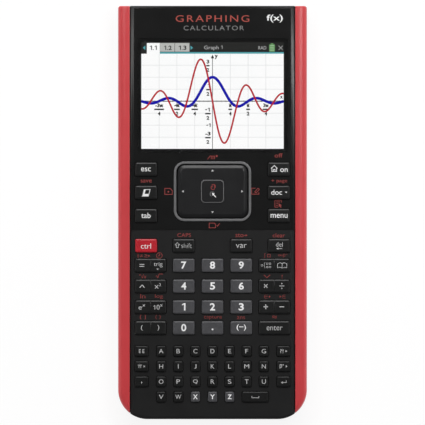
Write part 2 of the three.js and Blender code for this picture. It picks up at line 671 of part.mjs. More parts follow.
function footBar(y) {
  const side = roundedRect(FOOT_SIZE, FOOT_SIZE[1] / 2, [0, y], 4);
  const sole = roundedRect(grown(FOOT_SIZE, -FOOT_EDGE), FOOT_SIZE[1] / 2 - FOOT_EDGE, [0, y], 4);
  return loft([[0, sole], [FOOT_EDGE, side], [FOOT_TOP, side]]);
}

// A pan head facing down, with a cross recess, and a plain shank that ends in a blunt point.
function screw([x, y], top, headTop) {
  const profile = [[0, SCREW_HEAD_BOTTOM], [SCREW_HEAD_R - 0.3, SCREW_HEAD_BOTTOM],
    [SCREW_HEAD_R, SCREW_HEAD_BOTTOM + 0.3], [SCREW_HEAD_R, headTop], [SHANK_R, headTop],
    [SHANK_R, top - SCREW_POINT], [0.4, top], [0, top]].map(([r, z]) => new THREE.Vector2(r, z));
  const body = new THREE.LatheGeometry(profile, 12).rotateX(Math.PI / 2);
  const long = [-CROSS_HALF_L, CROSS_HALF_L];
  const narrow = [-CROSS_HALF_W, CROSS_HALF_W];
  const depth = [0, SCREW_HEAD_BOTTOM + CROSS_DEPTH];
  return shaped({
    add: [body],
    cut: [block(long, narrow, depth), block(narrow, long, depth)],
  }).translate(x, y, 0);
}

// ---------- assembly ----------

const calculator = new THREE.Group();

function add(name, geometry, material) {
  geometry.computeVertexNormals();
  const mesh = new THREE.Mesh(geometry, material);
  mesh.name = name;
  calculator.add(mesh);
}

function addKeys(keys, rows) {
  for (const key of keys) add(key.name, keyGeometry(key), key.material);
  rows.forEach((caps, row) =>
    add(`letter_row_${row + 1}`, letterRowGeometry(caps), materials.darkKey));
}

const keys = keyPlaces();
const letterRows = [0, 1, 2, 3].map(letterRow);

add('front_case', frontCase([...keys, ...letterRows.flat()]), materials.caseFront);
add('rear_case', rearCase(), materials.caseRear);
add('side_rail_left', mirrored(rightRail()), materials.rail);
add('side_rail_right', rightRail(), materials.rail);
add('display_window', plate(roundedRect(WINDOW_SIZE, WINDOW_CORNER, [0, WINDOW_Y]),
  WINDOW_BOTTOM, DISPLAY_DECK), materials.window);
add('display_module', displayModule(), materials.display);
add('display_ribbon', displayRibbon(), materials.ribbon);
add('main_board', mainBoard(), materials.board);
add('keypad_dome_sheet', domeSheet(), materials.dome);
add('battery_pack', batteryPack(), materials.battery);
add('battery_contacts', batteryContacts(), materials.contact);
add('battery_door', batteryDoor(), materials.caseRear);
add('usb_socket', usbSocket(), materials.steel);
add('reset_button', resetButton(), materials.caseRear);
add('foot_bar_upper', footBar(FOOT_YS[0]), materials.rubber);
add('foot_bar_lower', footBar(FOOT_YS[1]), materials.rubber);
CASE_SCREWS.forEach((at, i) =>
  add(`case_screw_${i + 1}`, screw(at, CASE_SCREW_TOP, SCREW_HEAD_TOP), materials.steel));
DOOR_SCREWS.forEach((at, i) =>
  add(`door_screw_${i + 1}`, screw(at, DOOR_SCREW_TOP, DOOR_SCREW_HEAD_TOP), materials.steel));
add('touchpad_ring', touchpadRing(), materials.silver);
add('touchpad_carrier', touchpadCarrier(), materials.caseRear);
add('touchpad_plate', touchpadPlate(), materials.darkKey);
add('touchpad_button', touchpadButton(), materials.darkKey);
addKeys(keys, letterRows);

export default calculator;
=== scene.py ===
from math import acos, cos, pi, radians, sin, sqrt

import bmesh
import bpy
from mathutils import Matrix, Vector


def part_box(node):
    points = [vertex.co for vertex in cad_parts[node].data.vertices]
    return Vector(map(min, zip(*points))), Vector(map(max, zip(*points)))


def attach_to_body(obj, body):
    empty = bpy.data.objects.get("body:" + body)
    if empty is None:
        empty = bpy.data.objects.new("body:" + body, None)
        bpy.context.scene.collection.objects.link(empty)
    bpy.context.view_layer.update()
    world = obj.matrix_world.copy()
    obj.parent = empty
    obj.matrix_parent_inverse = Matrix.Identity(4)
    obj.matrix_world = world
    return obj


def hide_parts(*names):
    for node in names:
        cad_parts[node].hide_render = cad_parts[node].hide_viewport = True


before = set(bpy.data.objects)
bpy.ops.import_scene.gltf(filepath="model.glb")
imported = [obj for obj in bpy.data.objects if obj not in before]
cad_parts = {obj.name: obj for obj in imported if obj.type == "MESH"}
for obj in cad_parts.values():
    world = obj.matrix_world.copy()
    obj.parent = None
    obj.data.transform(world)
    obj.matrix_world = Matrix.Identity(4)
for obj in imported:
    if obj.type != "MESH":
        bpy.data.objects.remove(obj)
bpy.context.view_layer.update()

# Shapes are written in millimetres, and make() turns them into metres.
MM = 0.001
SCENE = bpy.context.scene


def box(node):
    """A CAD node's lowest and highest corners, in millimetres."""
    low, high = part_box(node)
    return low / MM, high / MM


def middle(node):
    """The middle of a CAD node in plan."""
    low, high = box(node)
    return ((low.x + high.x) / 2, (low.y + high.y) / 2)


def plan_size(node):
    low, high = box(node)
    return (high.x - low.x, high.y - low.y)


# ---------- sizes ----------

GAP = 0.3
WALL = 1.2
ABOVE = 20.0  # over the whole object, where cutters end

REAR_LOW, REAR_HIGH = box("rear_case")
FRONT_LOW, FRONT_HIGH = box("front_case")
HALF_W = REAR_HIGH.x
HALF_L = REAR_HIGH.y
BACK = REAR_LOW.z
BACK_INSIDE = 2.4
THROUGH_BACK = 2.5  # where cutters through the back's floor end
REAR_RIM = FRONT_LOW.z - GAP
TOP_CORNER = 1.2
BOTTOM_CORNER = 13.4
PANEL_HALF_W = FRONT_HIGH.x
RAIL_INNER_X = box("side_rail_right")[0].x
DECK_STEP = 0.3
DISPLAY_DECK = box("display_window")[1].z
KEYPAD_DECK = DISPLAY_DECK - DECK_STEP
DECK_BOTTOM = 12.5
CREASE_Y = -7.9

KEY_FLANGE = 0.6
KEY_CORNER = 0.75
KEY_GAP = 0.16
LETTER_PITCH = 7.79
LETTER_LENGTH = 4.65
LETTER_SIZE = (4.2, LETTER_LENGTH)
LETTER_END_SIZE = (6.0, LETTER_LENGTH)
LETTER_END_X = 32.25
SPACE_SIZE = (12.0, LETTER_LENGTH)
SPACE_X = 19.5
LETTER_TOP = box("letter_row_1")[1].z

WINDOW_LOW, WINDOW_HIGH = box("display_window")
WINDOW_AT = middle("display_window")
WINDOW_SIZE = plan_size("display_window")
WINDOW_CORNER = 0.8
APERTURE_SIZE = (66.0, 49.8)
SCREEN_SIZE = (64.9, 48.6)

RING_LOW, RING_HIGH = box("touchpad_ring")
RING_SIZE = plan_size("touchpad_ring")
RING_CORNER = 4.9
RING_WIDTH = 1.1
PAD_LOW, PAD_HIGH = box("touchpad_plate")
PAD_AT = middle("touchpad_plate")
PAD_CORNER = 3.4
BUTTON_LOW, BUTTON_HIGH = box("touchpad_button")
BUTTON_SIZE = (10.5, 10.5)
BUTTON_CORNER = 1.9

DOOR_LOW, DOOR_HIGH = box("battery_door")
DOOR_SIZE = (60.0, 52.0)
DOOR_AT = (0.0, DOOR_LOW.y + DOOR_SIZE[1] / 2)
DOOR_CORNER = 3.0
DOOR_THICKNESS = 1.4
DOOR_TOP = DOOR_LOW.z + DOOR_THICKNESS
HOOK_XS = (-17, 17)
BATTERY_AT = middle("battery_pack")
BATTERY_SIZE = plan_size("battery_pack")
CASE_SCREWS = [f"case_screw_{i}" for i in (1, 2, 3, 4)]
DOOR_SCREWS = [f"door_screw_{i}" for i in (1, 2)]
SCREW_BOSS_R = 2.8
SHANK_R = 1.0
HEAD_R = 1.9
SHANK_HOLE_R = SHANK_R + GAP
HEAD_HOLE_R = HEAD_R + GAP
FEET = ("foot_bar_upper", "foot_bar_lower")


# ---------- outlines: lists of (x, y), counter-clockwise ----------

def arc(cx, cy, r, start, end, steps):
    angles = [start + (end - start) * i / steps for i in range(steps + 1)]
    return [(cx + r * cos(a), cy + r * sin(a)) for a in angles]


def circle(at, r, steps=32):
    return arc(at[0], at[1], r, 0, 2 * pi * (steps - 1) / steps, steps - 1)


def rectangle(x0, x1, y0, y1):
    return [(x1, y1), (x0, y1), (x0, y0), (x1, y0)]


def rounded(size, r, at=(0, 0), steps=6):
    """A rectangle with round corners."""
    x, y = size[0] / 2 - r, size[1] / 2 - r
    points = []
    for i, (cx, cy) in enumerate(((x, y), (-x, y), (-x, -y), (x, -y))):
        points += arc(at[0] + cx, at[1] + cy, r, i * pi / 2, (i + 1) * pi / 2, steps)
    return points


def grown(size, by):
    return (size[0] + 2 * by, size[1] + 2 * by)


def shrinking(size, r, at=(0, 0), steps=6):
    """A function from an inset to the rounded rectangle drawn in by it."""
    smallest_r = 0.12
    return lambda inset: rounded(grown(size, -inset), max(r - inset, smallest_r), at, steps)


def body_outline(inset):
    """The whole outline, with nearly square corners at the display end."""
    top_r = max(TOP_CORNER - inset, 0.2)
    low_r = BOTTOM_CORNER - inset
    x, y = HALF_W - inset, HALF_L - inset
    return (arc(x - top_r, y - top_r, top_r, 0, pi / 2, 5)
            + arc(top_r - x, y - top_r, top_r, pi / 2, pi, 5)
            + arc(low_r - x, low_r - y, low_r, pi, 1.5 * pi, 22)
            + arc(x - low_r, low_r - y, low_r, 1.5 * pi, 2 * pi, 22))


CORNER_X, CORNER_Y = HALF_W - BOTTOM_CORNER, BOTTOM_CORNER - HALF_L


def panel_outline(side_inset, end_inset):
    """The part of the body outline between the rails."""
    half = PANEL_HALF_W - side_inset
    r = BOTTOM_CORNER - end_inset
    right = arc(CORNER_X, CORNER_Y, r, -pi / 2, -acos((half - CORNER_X) / r), 16)
    left = [(-x, y) for x, y in reversed(right)]
    top = HALF_L - end_inset
    return [(half, top), (-half, top)] + left + right


def rail_outline(inset, end_inset, inner_inset):
    """The part of the body outline outside the right side of the panel."""
    r = BOTTOM_CORNER - inset
    outer = HALF_W - inset
    inner = RAIL_INNER_X + inner_inset
    corner = min(TOP_CORNER, (outer - inner) / 2)
    top = HALF_L - end_inset
    return (arc(CORNER_X, CORNER_Y, r, -acos((inner - CORNER_X) / r), 0, 28)
            + arc(outer - corner, top - corner, corner, 0, pi / 2, 8)
            + [(inner, top)])


# ---------- shapes: functions that add a closed solid to a bmesh ----------

def upright(x, y, z):
    return (x, y, z)


def lying_along_y(x, y, z):
    return (x, z, y)


def lying_along_x(x, y, z):
    return (z, x, y)


def loft(levels, closed=False, place=upright):
    """A solid through (height, outline) levels. A closed loft joins its last level to its first."""
    def build(bm):
        rings = [[bm.verts.new(place(x, y, z)) for x, y in outline] for z, outline in levels]
        pairs = list(zip(rings, rings[1:]))
        if closed:
            pairs.append((rings[-1], rings[0]))
        else:
            bm.faces.new(rings[0])
            bm.faces.new(rings[-1])
        for low, high in pairs:
            for i in range(len(low)):
                j = (i + 1) % len(low)
                bm.faces.new((low[i], low[j], high[j], high[i]))
    return build


def plate(outline, z0, z1, place=upright):
    return loft([(z0, outline), (z1, outline)], place=place)


def post(node, r, z0, z1):
    """A round rod through a CAD node's middle."""
    return plate(circle(middle(node), r), z0, z1)


def turned(at, profile, base=0, steps=32):
    """A round solid from (height over base, radius) pairs."""
    return loft([(base + rise, circle(at, r, steps)) for rise, r in profile])


def stack(outline, base, profile):
    """Levels from (height over base, inset) pairs."""
    return [(base + rise, outline(inset)) for rise, inset in profile]


def rolled(outline, top, inset, drop, steps=5, start=0.0):
    """Levels that turn from an upright side to a flat top through a quarter ellipse."""
    angles = [pi / 2 * i / steps for i in range(steps + 1)]
    return [(top - drop + drop * sin(a), outline(start + inset * (1 - cos(a)))) for a in angles]


def mirrored(shape, side):
    """The shape itself for side 1, and its mirror image across x = 0 for side -1."""
    def build(bm):
        shape(bm)
        bmesh.ops.scale(bm, vec=(side, 1, 1), verts=bm.verts)
    return build


# ---------- objects ----------

ROUND_EDGES, HARD_EDGES = 38, 20  # degrees between faces from which an edge stays sharp


def make(name, shapes, *materials, smooth=ROUND_EDGES):
    """An object from a shape or a list of shapes."""
    bm = bmesh.new()
    for shape in shapes if isinstance(shapes, list) else [shapes]:
        shape(bm)
    bmesh.ops.scale(bm, vec=(MM, MM, MM), verts=bm.verts)
    bmesh.ops.recalc_face_normals(bm, faces=bm.faces)
    mesh = bpy.data.meshes.new(name)
    bm.to_mesh(mesh)
    bm.free()
    obj = bpy.data.objects.new(name, mesh)
    SCENE.collection.objects.link(obj)
    for material in materials:
        mesh.materials.append(material)
    shade(obj, smooth)
    return obj


def shade(obj, angle):
    mesh = obj.data
    mesh.polygons.foreach_set("use_smooth", [True] * len(mesh.polygons))
    mesh.set_sharp_from_angle(angle=radians(angle))


def choose_materials(obj, is_second):
    """Gives a polygon the object's second material where is_second(polygon), and the first elsewhere."""
    for polygon in obj.data.polygons:
        polygon.material_index = int(is_second(polygon))


def combine(obj, tool, operation="DIFFERENCE"):
    """Cuts a tool out of obj, joins it to it, or keeps what both hold. The tool is used up."""
    if not isinstance(tool, bpy.types.Object):
        tool = make("tool", tool)
    modifier = obj.modifiers.new("combine", "BOOLEAN")
    modifier.operation = operation
    modifier.solver = "MANIFOLD"
    modifier.object = tool
    graph = bpy.context.evaluated_depsgraph_get()
    mesh = bpy.data.meshes.new_from_object(obj.evaluated_get(graph))
    obj.modifiers.clear()
    obj.data = mesh
    bpy.data.objects.remove(tool)
    return obj


def attach(obj, body, slot, *nodes):
    """Parents a piece to its body's empty and hides the CAD nodes it stands for. The slot is not used."""
    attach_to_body(obj, body)
    if nodes:
        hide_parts(*nodes)


def settle(obj, body, slot, *nodes):
    """Attaches a piece after giving its large faces flat shading up to their rounded edges."""
    shade(obj, ROUND_EDGES)
    modifier = obj.modifiers.new("weighted", "WEIGHTED_NORMAL")
    modifier.weight = 80
    modifier.keep_sharp = True
    attach(obj, body, slot, *nodes)


def lay(name, shapes, material, body, slot):
    """A thin printed or lit piece with hard edges."""
    attach(make(name, shapes, material, smooth=HARD_EDGES), body, slot)


# ---------- materials ----------

def fill(node, **values):
    """Sets a node's input sockets. An underscore stands for a space."""
    for socket, value in values.items():
        node.inputs[socket.replace("_", " ")].default_value = value
    return node


class Nodes:
    """A material's node tree, with short calls for the nodes used here."""

    def __init__(self, name, **shader):
        self.material = bpy.data.materials.new(name)
        self.material.use_nodes = True
        self.tree = self.material.node_tree
        self.shader = fill(self.tree.nodes["Principled BSDF"], **shader)
        self.position = self.add("ShaderNodeTexCoord").outputs["Object"]

    def add(self, kind, **settings):
        node = self.tree.nodes.new(kind)
        for key, value in settings.items():
            setattr(node, key, value)
        return node

    def link(self, output, socket):
        self.tree.links.new(output, self.shader.inputs[socket] if isinstance(socket, str) else socket)

    def noise(self, size, detail=3.0, stretch=(1, 1, 1)):
        """Noise whose features are about size across, in millimetres."""
        node = fill(self.add("ShaderNodeTexNoise"), Scale=1 / (size * MM), Detail=detail)
        mapping = fill(self.add("ShaderNodeMapping"), Scale=stretch)
        self.link(self.position, mapping.inputs["Vector"])
        self.link(mapping.outputs["Vector"], node.inputs["Vector"])
        return node.outputs["Fac"]

    def spread(self, value, low, high, middle_band=0.2):
        """Maps the middle of a noise's range to low..high."""
        node = fill(self.add("ShaderNodeMapRange"), From_Min=0.5 - middle_band,
                    From_Max=0.5 + middle_band, To_Min=low, To_Max=high)
        self.link(value, node.inputs["Value"])
        return node.outputs["Result"]

    def blend(self, factor, a, b):
        node = fill(self.add("ShaderNodeMix", data_type="RGBA"), A=(*a, 1), B=(*b, 1))
        self.link(factor, node.inputs["Factor"])
        return node.outputs["Result"]

    def bump(self, height, strength, distance):
        node = fill(self.add("ShaderNodeBump"), Strength=strength, Distance=distance * MM)
        self.link(height, node.inputs["Height"])
        return node.outputs["Normal"]


def shades(color, amount):
    return [c * (1 - amount) for c in color], [c * (1 + amount) for c in color]


def moulded(name, color, roughness, grain=0.25, relief=0.25, variation=0.06, blotch=9.0,
            metallic=0.0, specular=0.5):
    """Moulded plastic, rubber, metal or paint: faint colour drift, uneven gloss and a fine grain."""
    n = Nodes(name, Metallic=metallic, Specular_IOR_Level=specular)
    drift = n.noise(blotch, 5)
    n.link(n.blend(n.spread(drift, 0, 1), *shades(color, variation)), "Base Color")
    n.link(n.spread(n.noise(blotch, 1), *roughness, 0.4), "Roughness")
    n.link(n.bump(n.noise(grain, 3), relief, 0.02), "Normal")
    return n.material


def brushed(name, color, roughness, along):
    """Metal with fine lines that run along the axis with the small stretch."""
    n = Nodes(name, Metallic=1.0)
    lines = n.noise(0.12, 4, along)
    n.link(n.blend(n.spread(lines, 0, 1), *shades(color, 0.08)), "Base Color")
    n.link(n.spread(n.noise(3, 4), *roughness), "Roughness")
    n.link(n.bump(lines, 0.2, 0.01), "Normal")
    return n.material


def lit(name, color, strength=1.0):
    """A lit part of the display picture, with the faint columns of its pixels."""
    n = Nodes(name, Base_Color=(0.002, 0.002, 0.002, 1), Roughness=0.6, Specular_IOR_Level=0.05,
              Emission_Strength=strength)
    pixel, wave_at_scale_1 = SCREEN_SIZE[0] / 320, 0.314
    wave = n.add("ShaderNodeTexWave", wave_type="BANDS", bands_direction="X", wave_profile="SIN")
    fill(wave, Scale=wave_at_scale_1 / (pixel * MM))
    n.link(n.position, wave.inputs["Vector"])
    n.link(n.blend(wave.outputs["Fac"], *shades(color, 0.02)), "Emission Color")
    return n.material


def clear_acrylic():
    n = Nodes("clear_acrylic", Transmission_Weight=1.0, IOR=1.49, Roughness=0.0)
    n.link(n.blend(n.spread(n.noise(20, 3), 0, 1), (0.97, 0.98, 0.98), (1, 1, 1)), "Base Color")
    return n.material


def circuit_board():
    """Green solder mask over a maze of copper tracks."""
    n = Nodes("circuit_board")
    bricks = fill(n.add("ShaderNodeTexBrick", offset=0.5, squash=0.6), Scale=260, Mortar_Size=0.05)
    n.link(n.position, bricks.inputs["Vector"])
    n.link(n.blend(bricks.outputs["Fac"], (0.02, 0.11, 0.045), (0.045, 0.2, 0.08)), "Base Color")
    n.link(n.bump(bricks.outputs["Fac"], 0.4, 0.03), "Normal")
    n.link(n.spread(n.noise(5, 3), 0.3, 0.42), "Roughness")
    return n.material


def ink(name, color):
    return moulded(name, color, (0.5, 0.6), relief=0.1)


DARK = (0.0122, 0.0124, 0.0124)
GLOSS_BLACK = moulded("gloss_black", (0.0086, 0.0087, 0.0087), (0.2, 0.26), 1.6, 0.04, specular=0.3)
SATIN_BLACK = moulded("satin_black", (0.0098, 0.0098, 0.01), (0.44, 0.54), 0.3, 0.3, specular=0.25)
REAR_BLACK = moulded("rear_black", (0.014, 0.014, 0.015), (0.55, 0.68), 0.35, 0.7)
RAIL_RED = moulded("rail_red", (0.64, 0.056, 0.064), (0.27, 0.33), 1.8, 0.04, 0.03)
KEY_DARK = moulded("key_dark", DARK, (0.26, 0.34), 0.5, 0.1, specular=0.32)
LETTER_DARK = moulded("letter_dark", DARK, (0.28, 0.36), 0.5, 0.1, specular=0.2)
KEY_GREY = moulded("key_grey", (0.07, 0.07, 0.0755), (0.34, 0.42), 0.22, 0.35, 0.1, 1.2, specular=0.35)
KEY_RED = moulded("key_red", (0.52, 0.016, 0.028), (0.3, 0.38), 0.5, 0.1, 0.03, specular=0.4)
PAD_BLACK = moulded("pad_black", (0.0128, 0.0128, 0.0138), (0.28, 0.34), 0.5, 0.1, specular=0.36)
RING_SILVER = moulded("ring_silver", (0.18, 0.18, 0.184), (0.3, 0.4), 0.5, 0.1, metallic=0.3)
INK_WHITE = ink("ink_white", (0.95, 0.95, 0.95))
INK_SOFT = ink("ink_soft", (0.62, 0.62, 0.62))
INK_RED = ink("ink_red", (0.33, 0.042, 0.038))
INK_TITLE = ink("ink_title", (0.45, 0.07, 0.05))
INK_GREY = ink("ink_grey", (0.22, 0.22, 0.22))
RUBBER = moulded("rubber_black", (0.012, 0.012, 0.012), (0.75, 0.9), grain=0.2, relief=0.9)
SCREW_STEEL = moulded("screw_steel", (0.5, 0.51, 0.53), (0.22, 0.4), relief=0.15, metallic=1.0)
SOCKET_STEEL = brushed("socket_steel", (0.6, 0.61, 0.63), (0.25, 0.38), (1, 0.05, 1))
MASK_BLACK = moulded("mask_black", (0.006, 0.006, 0.0062), (0.5, 0.6), relief=0.05, specular=0.03)
DOME_FILM = moulded("dome_film", (0.42, 0.42, 0.4), (0.5, 0.7), grain=2.5, relief=0.3)
BATTERY_FOIL = brushed("battery_foil", (0.42, 0.43, 0.45), (0.35, 0.5), (0.06, 1, 1))
CONTACT_GOLD = brushed("contact_gold", (0.7, 0.5, 0.2), (0.25, 0.35), (1, 0.1, 1))
RIBBON_AMBER = moulded("ribbon_amber", (0.42, 0.16, 0.03), (0.3, 0.4), grain=0.5, relief=0.3)
CIRCUIT_BOARD = circuit_board()
CLEAR_ACRYLIC = clear_acrylic()


# ---------- text and lines: thin closed solids from z - thickness to z + thickness ----------

INK = 0.02


def text(body, at, size, z, bold=0.004, spacing=1.0, thickness=INK):
    """Text fitted to a width and height round the point at."""
    def build(bm):
        curve = bpy.data.curves.new("text", "FONT")
        curve.body = body
        curve.resolution_u = 4
        curve.offset = bold
        curve.extrude = 1
        curve.space_character = spacing
        obj = bpy.data.objects.new("text", curve)
        SCENE.collection.objects.link(obj)
        bpy.context.view_layer.update()
        mesh = bpy.data.meshes.new_from_object(obj)
        bpy.data.objects.remove(obj)
        part = bmesh.new()
        part.from_mesh(mesh)
        bmesh.ops.remove_doubles(part, verts=part.verts, dist=1e-5)
        xs = [v.co.x for v in part.verts]
        ys = [v.co.y for v in part.verts]
        scale = (size[0] / (max(xs) - min(xs)), size[1] / (max(ys) - min(ys)))
        centre = ((max(xs) + min(xs)) / 2, (max(ys) + min(ys)) / 2)
        for v in part.verts:
            x, y = (v.co.x - centre[0]) * scale[0], (v.co.y - centre[1]) * scale[1]
            v.co = (at[0] + x, at[1] + y, z + (thickness if v.co.z > 0 else -thickness))
        part.to_mesh(mesh)
        part.free()
        bm.from_mesh(mesh)
        bpy.data.meshes.remove(mesh)
    return build


def stroke(points, width, z, thickness=INK, closed=False):
    """A flat line of even width through points."""
    points = [Vector(p) for p in points]
    count = len(points)
    sharpest = 0.4  # keeps the mitre of a sharp corner short

    def build(bm):
        rows = []
        for i, point in enumerate(points):
            before = point - points[i - 1] if i or closed else points[i + 1] - point
            after = points[(i + 1) % count] - point if i + 1 < count or closed else before
            before, after = before.normalized(), after.normalized()
            mean = (before + after).normalized()
            normal = Vector((-mean.y, mean.x))
            reach = width / 2 / max(sharpest, normal.dot(Vector((-before.y, before.x))))
            rows.append([bm.verts.new((*(point + side * normal * reach), height))
                         for side in (1, -1) for height in (z - thickness, z + thickness)])
        pairs = list(zip(rows, rows[1:]))
        if closed:
            pairs.append((rows[-1], rows[0]))
        else:
            for a, b, c, d in (rows[0], rows[-1]):
                bm.faces.new((a, c, d, b))
        for r, s in pairs:
            for a, b in ((0, 1), (1, 3), (3, 2), (2, 0)):
                bm.faces.new((r[a], r[b], s[b], s[a]))
    return build


def figure_one(at, height, z, weight=0.17, thickness=INK):
    """A figure one with a flag, which the built-in font lacks. weight is its stem's share of the height."""
    shape = ((0.08 + weight, 0.5), (0.08, 0.5), (-0.2, 0.34), (-0.2, 0.34 - weight * 0.8),
             (0.08, 0.32), (0.08, -0.5), (0.08 + weight, -0.5))
    outline = [(at[0] + x * height, at[1] + y * height) for x, y in shape]
    return plate(outline, z - thickness, z + thickness)


# ---------- places of the keys ----------

def key_caps():
    """{node: (centre, cap size, top height)} of every separate key, from the CAD boxes."""
    caps = {}
    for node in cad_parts:
        if node.endswith(("_key", "_rocker")) or node.startswith("number_key"):
            width, length = plan_size(node)
            side = 0 if node.endswith("_rocker") else KEY_FLANGE
            caps[node] = (middle(node), (width - 2 * side, length - 2 * KEY_FLANGE), box(node)[1].z)
    return caps


def letter_caps(row):
    """(centre, size, legend) of each cap in a letter row."""
    y = middle(f"letter_row_{row}")[1]
    letters = ("ABCDEFG", "HIJKLMN", "OPQRSTU", "VWXYZ")[row - 1]
    caps = [(((i - 3) * LETTER_PITCH, y), LETTER_SIZE, c) for i, c in enumerate(letters)]
    if row == 4:
        return caps + [((SPACE_X, y), SPACE_SIZE, "space")]
    first, last = (("EE", "query"), ("pi", "flag"), ("comma", "return"))[row - 1]
    return ([((-LETTER_END_X, y), LETTER_END_SIZE, first)] + caps
            + [((LETTER_END_X, y), LETTER_END_SIZE, last)])


KEYS = key_caps()
LETTER_ROWS = {row: letter_caps(row) for row in (1, 2, 3, 4)}


def deck_of(y):
    return DISPLAY_DECK if y > CREASE_Y else KEYPAD_DECK


# ---------- casing ----------

def interpolate(table, value):
    """The value of a falling table of (position, value) pairs at a position."""
    for (p0, v0), (p1, v1) in zip(table, table[1:]):
        if value >= p1:
            return v0 + (v1 - v0) * min(1, max(0, (p0 - value) / (p0 - p1)))


def panel(deck):
    """The black panel: long gentle bevels beside the rails and rounded ends."""
    side_bevel = ((0.62, 0), (0.52, 0.015), (0.44, 0.06), (0.38, 0.12), (0.34, 0.22), (0.05, 1.45),
                  (0.02, 1.62), (0, 1.8))
    end_inset, end_drop = 1.4, 0.95
    drops = (0.95, 0.84, 0.73, 0.62, 0.52, 0.44, 0.38, 0.34, 0.26, 0.18, 0.11, 0.05, 0.02, 0.006, 0)
    levels = [(FRONT_LOW.z, panel_outline(0, 0))]
    for drop in drops:
        end = end_inset * (1 - sqrt(1 - (1 - drop / end_drop) ** 2))
        levels.append((deck - drop, panel_outline(interpolate(side_bevel, drop), end)))
    return loft(levels)


def display_half():
    """The higher deck at the display end, down to the crease above the keypad."""
    steps, half_length, below = 8, 0.5, 0.05
    waves = [cos(pi * i / steps) for i in range(steps + 1)]
    crease = [(CREASE_Y + half_length * wave, KEYPAD_DECK - below + (below + DECK_STEP) * (1 + wave) / 2)
              for wave in waves]
    low, end = KEYPAD_DECK - 1, HALF_L + 1
    profile = ([(CREASE_Y + half_length, ABOVE)] + crease
               + [(CREASE_Y - half_length, low), (end, low), (end, ABOVE)])
    half = make("display_half", panel(DISPLAY_DECK))
    return combine(half, plate(profile, -HALF_W, HALF_W, lying_along_x), "INTERSECT")


def flared_hole(outline, bottom, deck, angles, last_flare):
    """A cutter for a key hole whose edge at the deck is rounded."""
    roll = 0.1
    return loft([(bottom, outline(0))]
                + [(deck - roll + roll * sin(a), outline(-roll * (1 - cos(a)))) for a in angles]
                + [(deck + 1, outline(-roll * last_flare))])


def front_case():
    hollow = plate(panel_outline(WALL, WALL), FRONT_LOW.z - 1, DECK_BOTTOM)
    holes = [flared_hole(shrinking(grown(size, KEY_GAP), KEY_CORNER + KEY_GAP, at), DECK_BOTTOM - 2,
                         deck_of(at[1]), (0, 0.35, 0.7, 1.05, 1.3), 0.85)
             for caps in (KEYS.values(), *LETTER_ROWS.values()) for at, size, _ in caps]
    for outline in (rounded(grown(RING_SIZE, -RING_WIDTH), RING_CORNER - RING_WIDTH, PAD_AT, 10),
                    rounded(APERTURE_SIZE, WINDOW_CORNER, WINDOW_AT)):
        holes.append(plate(outline, DECK_BOTTOM - 1, ABOVE))
    lens_gap, ring_gap = 0.004, 0.05
    seats = [plate(rounded(grown(WINDOW_SIZE, lens_gap), WINDOW_CORNER, WINDOW_AT), WINDOW_LOW.z - 0.2,
                   ABOVE),
             plate(rounded(grown(RING_SIZE, ring_gap), RING_CORNER, PAD_AT, 12), RING_LOW.z - GAP, ABOVE)]
    low, high = box("usb_socket")
    socket = shrinking(grown((high.x - low.x, high.z - low.z), GAP), 0.9, (0, (low.z + high.z) / 2), 4)
    socket_hole = loft(stack(socket, HALF_L, ((-3, 0), (-0.3, 0), (0.1, -0.4))), place=lying_along_y)
    boss_low = REAR_RIM + 1.3

    case = make("front_shell", panel(KEYPAD_DECK), GLOSS_BLACK, SATIN_BLACK)
    combine(case, display_half(), "UNION")
    for cutter in (hollow, holes, seats, socket_hole):
        combine(case, cutter)
    combine(case, [post(node, SCREW_BOSS_R, boss_low, DECK_BOTTOM + GAP) for node in CASE_SCREWS], "UNION")
    combine(case, [post(node, SHANK_HOLE_R, REAR_RIM, box(node)[1].z + 0.5) for node in CASE_SCREWS])
    choose_materials(case, lambda p: p.center.y < CREASE_Y * MM and p.center.z > DECK_BOTTOM * MM)
    settle(case, "case", "case_gloss_black", "front_case")


def countersunk(node, r, rest):
    """A cutter with a wider mouth at the back, under a CAD node's middle."""
    return turned(middle(node), [(0, r + 0.3), (BACK, r + 0.3), (BACK + GAP, r)] + rest)


